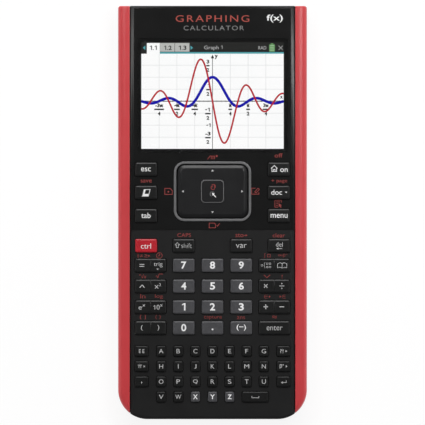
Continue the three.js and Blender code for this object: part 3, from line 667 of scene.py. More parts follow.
def rear_case():
    edge_roll, edge_inset, edge_steps = 2.0, 2.4, 8
    angles = [pi / 2 * i / edge_steps for i in range(edge_steps, -1, -1)]
    tray = loft([(BACK + edge_roll * (1 - sin(a)), body_outline(edge_inset * (1 - cos(a)))) for a in angles]
                + [(REAR_RIM - 0.15, body_outline(0)), (REAR_RIM, body_outline(0.12))])

    door_hole = shrinking(grown(DOOR_SIZE, GAP), DOOR_CORNER, DOOR_AT, 8)
    side_wall = 1.8
    inside = [plate(body_outline(side_wall), BACK_INSIDE, ABOVE),
              loft([(BACK - 1, door_hole(-0.2)), (BACK, door_hole(-0.2)), (BACK + 0.2, door_hole(0)),
                    (THROUGH_BACK, door_hole(0))])]

    ledge_low, ledge_top, well_top, tower_r = DOOR_TOP + GAP, DOOR_TOP + 1.3, 8.3, 3.4
    ledge_width, well_corner = 1.5, 1
    supports = [plate(rounded(grown(DOOR_SIZE, GAP + ledge_width), DOOR_CORNER, DOOR_AT), ledge_low,
                      ledge_top),
                plate(rounded(grown(BATTERY_SIZE, GAP + ledge_width), well_corner, BATTERY_AT), ledge_low,
                      well_top)]
    supports += [post(node, SCREW_BOSS_R, ledge_low, box(node)[1].z + 1) for node in DOOR_SCREWS]
    bosses = [post(node, tower_r, BACK_INSIDE - GAP, REAR_RIM + 1) for node in CASE_SCREWS]

    hook_slot, hook_slot_y = (6.6, 2.5), -29.25
    openings = [plate(rounded(grown(BATTERY_SIZE, GAP), well_corner, BATTERY_AT), 0, ABOVE)]
    openings += [plate(rounded(hook_slot, 0.4, (x, hook_slot_y)), 0, ledge_top + 1) for x in HOOK_XS]

    over_mouth = [(THROUGH_BACK, HEAD_HOLE_R), (THROUGH_BACK, SHANK_HOLE_R), (ABOVE, SHANK_HOLE_R)]
    screw_holes = [countersunk(node, HEAD_HOLE_R, over_mouth) for node in CASE_SCREWS]
    screw_holes += [post(node, SHANK_HOLE_R, 0, box(node)[1].z + GAP) for node in DOOR_SCREWS]

    reset_r, label_size, label_at = 1.5, (46, 20), (0, 44)
    pockets = []
    for node in FEET:
        size = grown(plan_size(node), 0.1)
        pockets.append(plate(rounded(size, size[1] / 2, middle(node), 8), 0, box(node)[1].z + GAP))
    pockets += [countersunk("reset_button", reset_r, [(BACK_INSIDE + 1, reset_r)]),
                plate(rounded(label_size, 1.5, label_at), BACK - 1, BACK + 0.1)]

    case = make("rear_shell", tray, REAR_BLACK)
    combine(case, inside)
    combine(case, supports, "UNION")
    combine(case, bosses, "UNION")
    for cutter in (openings, screw_holes, pockets):
        combine(case, cutter)
    settle(case, "case", "case_satin_black", "rear_case")


def battery_door():
    outline = shrinking(DOOR_SIZE, DOOR_CORNER, DOOR_AT, 8)
    cover = loft(stack(outline, DOOR_LOW.z, ((0, 0.35), (0.08, 0.12), (0.25, 0))) + [(DOOR_TOP, outline(0))])

    back, stem, tip, tip_low, tip_high = -30.2, -28.4, -26.2, 3.6, 4.4
    under = DOOR_TOP - GAP
    profile = [(back, under), (stem, under), (stem, tip_low), (tip, tip_low), (tip, tip_high),
               (back, tip_high)]
    hooks = [plate(profile, x - 3, x + 3, lying_along_x) for x in HOOK_XS]

    grip_y, grip_pitch, seat = DOOR_HIGH.y - 8.8, 2, DOOR_LOW.z + 1
    recesses = [loft(stack(shrinking((18, 0.8), 0.4, (0, grip_y - grip_pitch * n), 6), DOOR_LOW.z,
                           ((-1, -0.15), (0, -0.15), (0.15, 0), (0.4, 0.1)))) for n in range(3)]
    recesses += [turned(middle(node), [(0, HEAD_HOLE_R), (seat, HEAD_HOLE_R), (seat, SHANK_HOLE_R),
                                       (3, SHANK_HOLE_R)]) for node in DOOR_SCREWS]

    door = make("battery_cover", cover, REAR_BLACK)
    combine(door, hooks, "UNION")
    combine(door, recesses)
    settle(door, "case", "case_satin_black", "battery_door")


def screw(node):
    """A pan head facing down, with a cross recess, on a threaded shank."""
    low, high = box(node)
    at = middle(node)
    under_head = 1.3 if node in DOOR_SCREWS else 2.2
    core_r, pitch, lead, plain_end = 0.8, 0.45, 0.1, 0.8
    head = ((0, 0.9), (0.04, 1.3), (0.14, 1.65), (0.32, 1.85), (0.4, HEAD_R))
    thread = ((0, core_r), (0.16, SHANK_R), (0.22, SHANK_R), (0.36, core_r))
    levels = [(low.z + rise, r) for rise, r in head] + [(under_head, HEAD_R), (under_head, core_r)]
    for n in range(int((high.z - under_head - plain_end) / pitch)):
        start = under_head + lead + n * pitch
        levels += [(start + rise, r) for rise, r in thread]
    levels += [(high.z - plain_end + lead, core_r), (high.z, 0.3)]

    wide, narrow, depth = 1.15, 0.24, 0.35
    cross = []
    for i in range(4):
        c, s = cos(i * pi / 2), sin(i * pi / 2)
        for x, y in ((wide, -narrow), (wide, narrow), (narrow, narrow)):
            cross.append((at[0] + x * c - y * s, at[1] + x * s + y * c))

    piece = make(node + "_body", turned(at, levels, steps=24), SCREW_STEEL)
    combine(piece, plate(cross, low.z - 1, low.z + depth))
    settle(piece, "case", "steel", node)


def foot(node):
    low, high = box(node)
    size = plan_size(node)
    outline = shrinking(size, size[1] / 2, middle(node), 10)
    levels = stack(outline, low.z, ((0, 0.5), (0.05, 0.25), (0.17, 0.07), (0.35, 0)))
    settle(make(node + "_pad", loft(levels + [(high.z, outline(0))]), RUBBER), "case", "foot_black", node)


def usb_socket():
    low, high = box("usb_socket")
    z = (low.z + high.z) / 2
    outline = shrinking((high.x - low.x, high.z - low.z), 0.7, (0, z), 5)
    floor_y = low.y + 1.5
    shell = loft([(low.y, outline(0))]
                 + stack(outline, high.y, ((-0.1, 0), (0, 0.1), (0, 0.25), (-0.1, 0.35)))
                 + [(floor_y, outline(0.35)), (floor_y, outline(1.6)), (low.y, outline(1.6))],
                 True, lying_along_y)
    tongue = [plate(rounded((4.4, 0.9), 0.1, (0, z + 0.35), 3), low.y + 0.4, high.y - 0.8, lying_along_y),
              plate(rounded((5.2, 1.9), 0.1, (0, z), 3), low.y + 0.3, low.y + 1.3, lying_along_y)]
    contacts = [plate(rectangle(x - 0.2, x + 0.2, z - 0.16, z - 0.04), floor_y, high.y - 1.2, lying_along_y)
                for x in ((n - 2) * 0.8 for n in range(5))]
    settle(make("usb_shell", shell, SOCKET_STEEL), "case", "steel", "usb_socket")
    settle(make("usb_tongue", tongue, REAR_BLACK), "case", "case_satin_black")
    settle(make("usb_contacts", contacts, CONTACT_GOLD), "case", "contact_gold")


def reset_button():
    node = "reset_button"
    low, high = box(node)
    pin, collar, stem, collar_low, collar_high = 1.2, 2.1, 1.0, 2.7, 3.4
    tip = [(low.z + rise, r) for rise, r in ((0, 0.7), (0.06, 1.0), (0.2, 1.15), (0.4, pin))]
    shape = turned(middle(node), tip + [(collar_low, pin), (collar_low, collar), (collar_high, collar),
                                        (collar_high, stem), (high.z, stem)], steps=28)
    settle(make("reset_pin", shape, REAR_BLACK), node, "case_satin_black", node)


def side_rail(side):
    low, high = box("side_rail_right")
    name = "right" if side > 0 else "left"
    crown, drop, end, inner, squareness, steps = 5.0, 2.6, 0.7, 0.3, 2.6, 20
    levels = [(low.z, rail_outline(0.25, 0.25, 0)), (low.z + 0.25, rail_outline(0, 0, 0))]
    for i in range(steps + 1):
        a = pi / 2 * i / steps
        fall = 1 - max(0, cos(a)) ** (2 / squareness)
        rise = sin(a) ** (2 / squareness)
        edge = max(0, rise - 0.95) * 20
        outline = rail_outline(crown * fall, end * fall, inner * edge ** 2)
        levels.append((high.z - drop + drop * rise, outline))
    skin, channel_end = 1.5, -82
    channel = rectangle(RAIL_INNER_X - 1, HALF_W - skin, channel_end, HALF_L - skin)

    rail = make(f"rail_{name}", mirrored(loft(levels), side), RAIL_RED)
    combine(rail, mirrored(plate(channel, REAR_RIM, DECK_BOTTOM - 1), side))
    settle(rail, "case", "rail_red", f"side_rail_{name}")


# ---------- keys ----------

def cap_levels(outline, top, scale=1.0):
    """A cap from its upright side over a narrow sloping facet to a slightly hollow face."""
    profile = ((0, 0.55), (0.015, 0.43), (0.05, 0.32), (0.1, 0.24), (0.17, 0.195), (0.46, 0.07),
               (0.52, 0.045), (0.6, 0.024), (0.72, 0.012), (1.3, 0.02), (1.75, 0.026))
    return [(top - drop * scale, outline(inset * scale)) for inset, drop in profile]


def key(node, material, slot):
    at, size, top = KEYS[node]
    base = box(node)[0].z
    rocker = node.endswith("_rocker")
    side_flange, flange_height = (-0.05, 0.5) if rocker else (KEY_FLANGE, 0.8)
    flange = rounded((size[0] + 2 * side_flange, size[1] + 2 * KEY_FLANGE), KEY_CORNER, at)
    flange_top = base + flange_height
    outline = shrinking(size, KEY_CORNER, at)
    cap = make(node + "_cap", loft([(base, flange), (flange_top, flange), (flange_top, outline(0))]
                                   + cap_levels(outline, top)), material)
    if rocker:
        width, depth, above, steps = 0.3, 0.22, 0.05, 10
        angles = [pi * i / steps for i in range(steps + 1)]
        groove = [(at[0] + width * cos(a), top + above - (depth + above) * sin(a)) for a in angles]
        combine(cap, plate(groove, at[1] - size[1], at[1] + size[1], lying_along_y))
    settle(cap, node, slot, node)


def on_grey_cap(row, polygon):
    """Whether a polygon is over one of the grey caps of the variables X, Y and Z."""
    x = polygon.center.x / MM
    return any(abs(x - at[0]) < LETTER_SIZE[0] / 2 + 0.1
               for at, _, legend in LETTER_ROWS[row] if legend in ("X", "Y", "Z"))


def letter_row(row):
    node = f"letter_row_{row}"
    low, high = box(node)
    web_top = low.z + 0.8
    web = plate(rounded(plan_size(node), 0.4, middle(node)), low.z, web_top)
    outlines = [shrinking(size, KEY_CORNER, at) for at, size, _ in LETTER_ROWS[row]]
    strip = make(node + "_caps", web, LETTER_DARK, KEY_GREY)
    combine(strip, [loft([(low.z + 0.3, outline(0))] + cap_levels(outline, high.z, 0.8))
                    for outline in outlines], "UNION")
    choose_materials(strip, lambda p: p.center.z > (web_top + 0.05) * MM and on_grey_cap(row, p))
    settle(strip, node, "key_black", node)


# ---------- touchpad ----------

def touchpad():
    ring_outline = shrinking(RING_SIZE, RING_CORNER, PAD_AT, 12)
    pad_outline = shrinking(plan_size("touchpad_plate"), PAD_CORNER, PAD_AT, 10)
    button = shrinking(BUTTON_SIZE, BUTTON_CORNER, PAD_AT, 8)
    stem_size, button_room, flange_size, room_top = (24, 16), (13.6, 13.6), (12.9, 12.9), 12.9

    roll, steps = 0.25, 4
    outer = rolled(ring_outline, RING_HIGH.z, roll, roll, steps)
    inner = [(z, ring_outline(RING_WIDTH - roll * (1 - cos(pi / 2 * (steps - i) / steps))))
             for i, (z, _) in enumerate(reversed(outer))]
    ring = loft([(RING_LOW.z, ring_outline(0))] + outer + inner + [(RING_LOW.z, ring_outline(RING_WIDTH))],
                closed=True)
    settle(make("pad_ring", ring, RING_SILVER), "case", "ring_silver", "touchpad_ring")

    face = PAD_HIGH.z - 0.01
    profile = ((0, 0.8), (0.02, 0.68), (0.09, 0.57), (0.22, 0.5), (1.28, 0.1), (1.42, 0.055), (1.6, 0.02),
               (1.85, 0))
    pad = make("pad_plate", loft([(room_top - 0.2, pad_outline(0))]
                                 + [(face - drop, pad_outline(inset)) for inset, drop in profile]), PAD_BLACK)
    combine(pad, plate(rounded(stem_size, 1, PAD_AT), PAD_LOW.z, room_top), "UNION")
    combine(pad, flared_hole(lambda inset: button(inset - 0.2), PAD_LOW.z - 1, PAD_HIGH.z,
                             (0, 0.5, 1.0, 1.35), 1))
    combine(pad, plate(rounded(button_room, 1, PAD_AT), PAD_LOW.z - 1, room_top))
    settle(pad, "touchpad_plate", "touchpad_black", "touchpad_plate")

    rim_width, rim_base = 0.42, BUTTON_LOW.z + 1.2
    flange = rounded(flange_size, BUTTON_CORNER, PAD_AT, 8)
    flange_top = BUTTON_LOW.z + 0.7
    click = loft([(BUTTON_LOW.z, flange), (flange_top, flange), (flange_top, button(rim_width))]
                 + rolled(button, BUTTON_HIGH.z - 0.06, 0.1, 0.1, 3, rim_width))
    rim = loft([(rim_base, button(0))] + rolled(button, BUTTON_HIGH.z, 0.16, 0.2, 4)
               + [(BUTTON_HIGH.z, button(rim_width - 0.05)), (rim_base, button(rim_width - 0.02))],
               closed=True)
    settle(make("pad_button", click, PAD_BLACK), "touchpad_button", "touchpad_black", "touchpad_button")
    settle(make("pad_button_rim", rim, RING_SILVER), "touchpad_button", "ring_silver")

    ahead, behind, half_width = 0.5, 0.4, 0.55
    marks = []
    for x, y in ((13.5, 0), (-13.5, 0), (0, 9.5), (0, -9.5)):
        out = Vector((x, y)).normalized()
        across = Vector((-out.y, out.x)) * half_width
        centre = Vector((x, y + PAD_AT[1]))
        heel = centre - out * behind
        marks.append(plate([centre + out * ahead, heel + across, heel - across],
                           PAD_HIGH.z - 0.03, PAD_HIGH.z - 0.002))
    lay("pad_marks", marks, INK_SOFT, "touchpad_plate", "legend_white")


# ---------- display ----------

GLASS_TOP = WINDOW_LOW.z - 0.25
LEFT, RIGHT = -SCREEN_SIZE[0] / 2, SCREEN_SIZE[0] / 2
BOTTOM, TOP = WINDOW_AT[1] - SCREEN_SIZE[1] / 2, WINDOW_AT[1] + SCREEN_SIZE[1] / 2
BAR_BOTTOM = TOP - 5.3
BAR_MIDDLE = TOP - 2.6
TAB_TOP = TOP - 0.4
ORIGIN_Y = BOTTOM + 21.7
QUARTER_PI = 8.10
UNIT_Y = 10.93
LAYER = 0.01


def window():
    lens = shrinking(WINDOW_SIZE, WINDOW_CORNER, WINDOW_AT)
    pane = loft([(WINDOW_LOW.z, lens(0)), (WINDOW_HIGH.z - 0.02, lens(0)), (WINDOW_HIGH.z, lens(0.02))])
    high = WINDOW_LOW.z - 0.02
    low = high - 0.08
    outer = rounded(grown(WINDOW_SIZE, -0.05), WINDOW_CORNER, WINDOW_AT, 4)
    inner = rounded(SCREEN_SIZE, 0.05, WINDOW_AT, 4)
    mask = loft([(low, outer), (high, outer), (high, inner), (low, inner)], closed=True)
    glass = make("window_lens", pane, CLEAR_ACRYLIC, MASK_BLACK, smooth=10)
    choose_materials(glass, lambda p: abs(p.normal.z) < 0.1)
    attach(glass, "case", "window_clear", "display_window")
    attach(make("window_mask", mask, MASK_BLACK, smooth=10), "case", "window_clear")


def display_panel():
    low, high = box("display_module")
    outline = shrinking(plan_size("display_module"), 0.6, WINDOW_AT)
    raised = rounded(grown(SCREEN_SIZE, GAP), 0.6, WINDOW_AT)
    frame_top, lip = 11.6, outline(0.8)
    shape = loft([(low.z, outline(0)), (frame_top, outline(0)), (frame_top, lip), (high.z, lip),
                  (high.z, raised), (GLASS_TOP - LAYER, raised)])
    settle(make("display_panel", shape, MASK_BLACK), "case", "display_white", "display_module")


# The picture's shapes are drawn from 0 to 1 in height, and screen_picture() lays them in their layers.

def area(x0, x1, y0, y1):
    return plate(rectangle(x0, x1, y0, y1), 0, 1)


def patch(*points):
    return plate(points, 0, 1)


def words(body, x, y, w, h, bold=0.045):
    return text(body, (x, y), (w, h), 0.5, bold, thickness=0.5)


def picture_one(x, y, height, weight=0.25):
    return figure_one((x, y), height, 0.5, weight, 0.5)


def fraction(over, under, x, y, width):
    shapes = [area(x - width / 2, x + width / 2, y - 0.45, y + 0.2)]
    if over[-1] == "1":
        shapes.append(picture_one(x + 0.3, y + 1.7, 1.7))
        if over[0] == "-":
            shapes.append(area(x - 1.2, x - 0.4, y + 1.5, y + 1.9))
    else:
        shapes.append(words(over, x, y + 1.7, min(width, 1.2 * len(over)), 1.75))
    return shapes + [words(under, x, y - 2.05, 1.2, 1.75)]


def sinc(u):
    return sin(u) / u if abs(u) > 1e-6 else 1.0


def steep_wave(u):
    return 4 * (u * cos(u) - sin(u)) / u ** 2 if abs(u) > 1e-4 else 0.0


def plot(function, width):
    """A curve over the whole width of the picture. Each quarter pi on the axis is a full pi of u."""
    count = 360
    xs = [LEFT + (RIGHT - LEFT) * i / count for i in range(count + 1)]
    return stroke([(x, ORIGIN_Y + UNIT_Y * function(pi * x / QUARTER_PI)) for x in xs], width, 0.5, 0.5)


def graph_layers():
    """(level, name, colour name, shapes) of the axes and the grid."""
    line, tick = 0.08, 0.4
    sides = [n for n in range(-4, 5) if n]
    grid = [area(n * QUARTER_PI - line, n * QUARTER_PI + line, BOTTOM, BAR_BOTTOM) for n in sides]
    for n in sides[1:-1]:
        y = ORIGIN_Y + n * UNIT_Y / 2
        grid.append(area(LEFT, RIGHT, y - line, y + line))
    axes = [area(-0.14, 0.14, BOTTOM, BAR_BOTTOM - 1), area(LEFT, RIGHT, ORIGIN_Y - 0.22, ORIGIN_Y + 0.2)]
    for n in range(-15, 16):
        x = n * QUARTER_PI / 4
        axes.append(area(x - line, x + line, ORIGIN_Y - tick, ORIGIN_Y + tick))
    arrow = patch((0, BAR_BOTTOM - 0.4), (-0.75, BAR_BOTTOM - 2.1), (0.75, BAR_BOTTOM - 2.1))

    numbers = []
    for n, over, under, width in ((-3, "-3π", "4", 4.4), (-2, "-π", "2", 2.6), (-1, "-π", "4", 2.9),
                                  (1, "π", "4", 1.7), (2, "π", "2", 1.7), (3, "3π", "4", 2.9)):
        numbers += fraction(over, under, n * QUARTER_PI, ORIGIN_Y - 3.6, width)
    for n in (3, 1, -1, -3):
        numbers += fraction(str(n), "2", -2.1, ORIGIN_Y + n * UNIT_Y / 2 - 0.1, 1.5 if n > 0 else 2.5)
    minus_one = ORIGIN_Y - UNIT_Y
    numbers += [picture_one(-1.4, minus_one, 1.6), area(-2.8, -2.0, minus_one - 0.2, minus_one + 0.2),
                words("y", 1.7, BAR_BOTTOM - 1.5, 1.4, 1.9), words("x", 31.4, ORIGIN_Y + 1.8, 1.2, 1.2)]
    return [(1, "field", "white", area(LEFT, RIGHT, BOTTOM, BAR_BOTTOM)), (2, "grid_lines", "grid", grid),
            (3, "axes", "axis", axes), (3, "axis_arrow", "dark", arrow), (3, "numbers", "dark", numbers)]


def status_bar_layers():
    """The same of the bar over the graph."""
    tabs = [area(x0, x1, BAR_BOTTOM + 0.95, TAB_TOP) for x0, x1 in ((-23.9, -17.3), (-17.1, -10.5))]
    tab_numbers = []
    for last, x in (("1", -27.0), ("2", -20.5), ("3", -13.8)):
        tab_numbers += [picture_one(x - 1.15, BAR_MIDDLE, 2.0, 0.2),
                        plate(circle((x, BAR_MIDDLE - 0.8), 0.2, 12), 0, 1),
                        picture_one(x + 1.05, BAR_MIDDLE, 2.0, 0.2) if last == "1"
                        else words(last, x + 1.2, BAR_MIDDLE, 1.4, 2.0, 0.025)]
    arrows = [patch((x + way * 0.6, BAR_MIDDLE), (x - way * 0.5, BAR_MIDDLE + 1.0),
                    (x - way * 0.5, BAR_MIDDLE - 1.0)) for x, way in ((-31.1, -1), (-9.5, 1))]
    marks = [words("Graph", -0.5, BAR_MIDDLE - 0.1, 6.6, 2.2, 0),
             picture_one(4.2, BAR_MIDDLE + 0.25, 1.6, 0.13), words("RAD", 22.7, BAR_MIDDLE, 3.6, 1.5, 0)]
    marks += [stroke([(30.1, BAR_MIDDLE + reach), (32.0, BAR_MIDDLE - reach)], 0.2, 0.5, 0.5)
              for reach in (0.95, -0.95)]
    battery = [plate(rounded((2.6, 3.3), 0.3, (27.1, BAR_BOTTOM + 2.6)), 0, 1),
               area(26.5, 27.7, TOP - 1.05, TOP - 0.55)]
    cells = [area(26.2, 28.0, y, y + 0.3) for y in (BAR_BOTTOM + 1.5 + n for n in range(3))]
    return [(1, "status_bar", "bar", area(LEFT, RIGHT, BAR_BOTTOM, TOP)),
            (2, "teal_line", "teal", area(-23.9, RIGHT, BAR_BOTTOM, BAR_BOTTOM + 0.75)),
            (2, "tabs", "tab", tabs), (2, "open_tab", "white", area(-29.9, -24.0, BAR_BOTTOM, TAB_TOP)),
            (3, "tab_numbers", "dark", tab_numbers), (3, "bar_arrows", "teal", arrows),
            (3, "bar_marks", "pale", marks), (3, "battery", "green", battery),
            (4, "battery_marks", "green_light", cells)]


def screen_picture():
    """The plotted graph with its axes, and a status bar, as thin layers on the display panel."""
    colors = {"white": (1, 1, 1), "dark": (0.004, 0.004, 0.004), "pale": (0.5, 0.5, 0.5),
              "teal": (0.085, 0.38, 0.43), "bar": (0.0155, 0.0158, 0.0148), "grid": (0.68, 0.69, 0.69),
              "tab": (0.5, 0.51, 0.49), "axis": (0.06, 0.06, 0.06), "green": (0.14, 0.32, 0.12),
              "green_light": (0.42, 0.62, 0.4), "blue": (0, 0, 0.4), "red": (0.48, 0.006, 0.018)}
    materials = {name: lit(f"screen_{name}", color, 1.04 if name == "white" else 1.0)
                 for name, color in colors.items()}
    layers = sorted(graph_layers() + status_bar_layers(), key=lambda layer: layer[0])
    curves = [(4, "curve_blue", "blue", plot(sinc, 1.26)), (5, "curve_red", "red", plot(steep_wave, 0.78))]
    for level, name, color, shapes in layers + curves:
        def lift(bm):
            for v in bm.verts:
                v.co.z = GLASS_TOP + LAYER * (level if v.co.z > 0.5 else level - 1)
        shapes = shapes if isinstance(shapes, list) else [shapes]
        lay(f"screen_{name}", shapes + [lift], materials[color], "case", "display_white")


# ---------- legends ----------

def lines(points):
    """Lists of points from "x,y x,y; x,y x,y", where a semicolon starts the next list."""
    return [[tuple(float(v) for v in point.split(",")) for point in line.split()]
            for line in points.split(";") if line]


def icon(open_lines="", closed="", filled="", boxes=(), rings=(), dots=()):
    """An icon round a point, in millimetres: open lines, closed lines and filled shapes."""
    return (lines(open_lines),
            lines(closed) + [rectangle(*b) for b in boxes] + [circle(at, r, steps) for at, r, steps in rings],
            lines(filled) + [circle(at, r, steps) for at, r, steps in dots])


ARROW_DOWN = icon(filled="-0.5,0.25 0.5,0.25 0,-0.4")
ARROW_RIGHT = icon(filled="-0.3,0.5 -0.3,-0.5 0.45,0")
HOUSE = icon("-1.45,0.05 0,1.35 1.45,0.05; -1.05,0.35 -1.05,-1.3 1.05,-1.3 1.05,0.35;"
             "-0.35,-1.25 -0.35,-0.4 0.35,-0.4 0.35,-1.25")
NOTEPAD = icon(closed="-1.75,-1.5 1,-1.5 1.8,1.5 -0.95,1.5",
               filled="-1.7,-1.4 1,-1.4 1.25,-0.45 -1.45,-0.45; -1.45,-0.45 -0.7,-0.45 -0.2,1.4 -0.95,1.4")
SHIFT_ARROW = icon(closed="0,1.15 1.05,0.1 0.5,0.1 0.5,-1.1 -0.5,-1.1 -0.5,0.1 -1.05,0.1")
BACK_ARROW = icon("1.3,0 -0.5,0", filled="-1.35,0 -0.4,0.5 -0.4,-0.5")
PLUS = icon("-1.05,0 1.05,0; 0,-1.05 0,1.05")
MINUS = icon("-1.1,0 1.1,0")
TIMES = icon("-0.8,-0.8 0.8,0.8; -0.8,0.8 0.8,-0.8")
DIVIDE = icon("-1.15,0 1.15,0", dots=[((0, 1.1), 0.27, 16), ((0, -1.1), 0.27, 16)])
TEMPLATE = icon("-0.65,1.3 -1,0.9 -1,0.25 -1.3,0 -1,-0.25 -1,-0.9 -0.65,-1.3",
                boxes=[(-2.5, -1.8, -0.35, 0.35), (-0.1, 0.6, 0.4, 1.1), (1.2, 1.9, 0.4, 1.1),
                       (-0.1, 0.6, -1.1, -0.4), (1.2, 1.9, -1.1, -0.4)])
BOOK = icon("0,0.75 0,-0.85; -2.1,-1.15 -1.05,-0.85 0,-1.2 1.05,-0.85 2.1,-1.15;"
            "-2.1,-1.15 -2.1,0.7 -1.2,1.15 -0.5,1.1 0,0.75 0.5,1.1 1.2,1.15 2.1,0.7 2.1,-1.15")
RETURN = icon("1.2,0.8 1.2,-0.3 -0.5,-0.3", filled="-1.2,-0.3 -0.4,0.25 -0.4,-0.85")
PI = icon("-0.9,0.6 0.9,0.6; -0.35,0.6 -0.45,-0.75; 0.35,0.6 0.4,-0.75")
SPACE_BAR = icon("-1.6,0.45 -1.6,-0.35 1.6,-0.35 1.6,0.45")
HAND = icon("0.55,1.25 0.95,0.7 1,-0.3",
            "-0.55,-1.15 -1.05,0 -0.75,0.3 -0.45,0.05 -0.5,1.05 -0.15,1.2 0.05,1.2 0.45,1.1 0.65,0.6"
            " 0.7,-0.5 0.4,-1.15")
POINTER = icon(filled="-0.75,0.95 0.45,0.55 0.1,0.2 1.15,-0.95 0.85,-1.2 -0.2,-0.1 -0.55,-0.35")
PAGE_DOT = icon(closed="-1.7,-1.35 1.7,-1.35 1.7,0.3 0.7,1.35 -1.7,1.35", dots=[((-0.1, -0.15), 0.36, 16)])
PAGE_PEN = icon("-0.1,1.35 -1.8,1.35 -1.8,-1.35 1.5,-1.35 1.5,-0.5",
                "-0.35,-0.35 1.1,1.35 1.75,0.75 0.3,-0.75")
PAGE_TICK = icon("0.9,0.1 1.25,-0.35 2.3,1", "-2.5,-1.05 0.4,-1.05 0.4,0.45 -0.15,1.05 -2.5,1.05")
PAGE_MENU = icon("-0.1,-1.55 -1.6,-1.55 -1.6,1.55 1.4,1.55 1.4,0.5; -1,0.8 0.8,0.8; -1,0 -0.1,0;"
                 "-1,-0.8 -0.3,-0.8",
                 filled="0.1,0.2 1.6,-0.7 0.95,-0.85 1.4,-1.6 1,-1.8 0.6,-1.05 0.2,-1.4")
GATHER = icon("-2.5,-0.95 -1,0.75; -0.75,-0.9 -0.75,0.45 0.75,0.45 0.75,-0.9; 0,0.45 0,-0.9",
              dots=[((1.7, 0.5), 0.45, 12)])
BLANK_BOX = icon(boxes=[(-0.6, 0.6, -0.7, 0.6)])
ROOT = icon("-1.6,-0.1 -1.2,0.15 -0.7,-0.9 -0.1,0.9 1.6,0.9")
RING_MARK = icon(rings=[((0, 0), 1.3, 24)])

DIGIT_SIZE = (2.35, 3.35)
KEY_ONES = {"number_key_1": (-0.15, 0.1, DIGIT_SIZE[1], 0.2), "exponential_rocker": (1.6, -0.2, 1.9, 0.17)}
KEY_TEXT = {  # text, offset from the key's centre, width and height
    "escape_key": [("esc", -0.1, -0.1, 4.5, 1.8)],
    "tab_key": [("tab", -0.1, 0.1, 4.3, 2.4)],
    "home_key": [("on", 2.3, -0.45, 3.4, 1.7)],
    "document_key": [("doc", -1, 0.1, 4.9, 2.4)],
    "menu_key": [("menu", 0.1, -0.1, 7.7, 1.8)],
    "control_key": [("ctrl", -0.1, -0.1, 4.6, 2.4)],
    "shift_key": [("shift", 1.3, 0.1, 4.9, 2.2)],
    "variable_key": [("var", 0, -0.1, 4.9, 1.7)],
    "delete_key": [("del", 0.2, 0.6, 3.1, 2)],
    "enter_key": [("enter", 0.1, -0.1, 7.2, 2)],
    "equals_trig_rocker": [("=", -4, 0, 2.2, 1.2), ("trig", 3.4, 0.3, 4, 2.4)],
    "power_square_rocker": [("^", -3.9, 0, 2.5, 1.3), ("x²", 3.3, 0.1, 2.9, 2.4)],
    "exponential_rocker": [("eˣ", -4, 0, 3, 2.3), ("0ˣ", 4.05, 0, 2.7, 2.4)],
    "bracket_rocker": [("(", -4, 0, 0.8, 2.7), (")", 3.5, 0, 0.8, 2.7)],
    "number_key_negate": [("(−)", 0, 0.1, 4.3, 2.9)],
    **{f"number_key_{digit}": [(digit, 0, 0.1, *DIGIT_SIZE)] for digit in "023456789"},
}
KEY_ICONS = {  # icon, offset from the key's centre, stroke width
    "home_key": [(HOUSE, -2.1, 0.3, 0.3)],
    "scratchpad_key": [(NOTEPAD, 0, -0.2, 0.26)],
    "document_key": [(ARROW_DOWN, 3.3, 0.1, 0)],
    "shift_key": [(SHIFT_ARROW, -2.9, 0.3, 0.18)],
    "delete_key": [(BACK_ARROW, 0.2, -1.3, 0.22)],
    "equals_trig_rocker": [(ARROW_DOWN, 3.2, -1.7, 0)],
    "template_catalog_rocker": [(TEMPLATE, -3.5, 0, 0.13), (BOOK, 3.55, 0, 0.2)],
    "multiply_divide_rocker": [(TIMES, -3.9, 0.1, 0.34), (DIVIDE, 3.4, 0.1, 0.3)],
    "add_subtract_rocker": [(PLUS, -3.9, 0.1, 0.36), (MINUS, 3.4, 0.1, 0.36)],
    "number_key_point": [(icon(dots=[((0, 0), 0.42, 20)]), 0, -0.7, 0)],
}
LETTER_TEXT = {  # text, offset from the cap's centre, width and height
    "EE": ("E E", 0, 0, 2.5, 1.7), "query": ("?!", -0.7, 0, 1.5, 1.8), "flag": ("β°", -0.7, 0, 1.9, 2),
    "comma": (",", 0, -0.5, 0.45, 0.9),
}
LETTER_ICONS = {  # icon, offset from the cap's centre
    "query": [(ARROW_RIGHT, 1.3, 0)], "pi": [(PI, -0.8, 0), (ARROW_RIGHT, 1.2, 0)],
    "flag": [(ARROW_RIGHT, 1.4, 0)], "return": [(RETURN, 0.1, -0.1)], "space": [(SPACE_BAR, 0, -0.1)],
}
LETTER_WIDTHS = {letter: width for width, letters in (
    (0.28, "I"), (1, "J"), (1.25, "F"), (1.3, "EL"), (1.6, "BKPRS"), (1.8, "CDHNTU"), (1.9, "GZ"), (2, "A"),
    (2.1, "OQVXY"), (2.2, "M"), (2.6, "W")) for letter in letters}
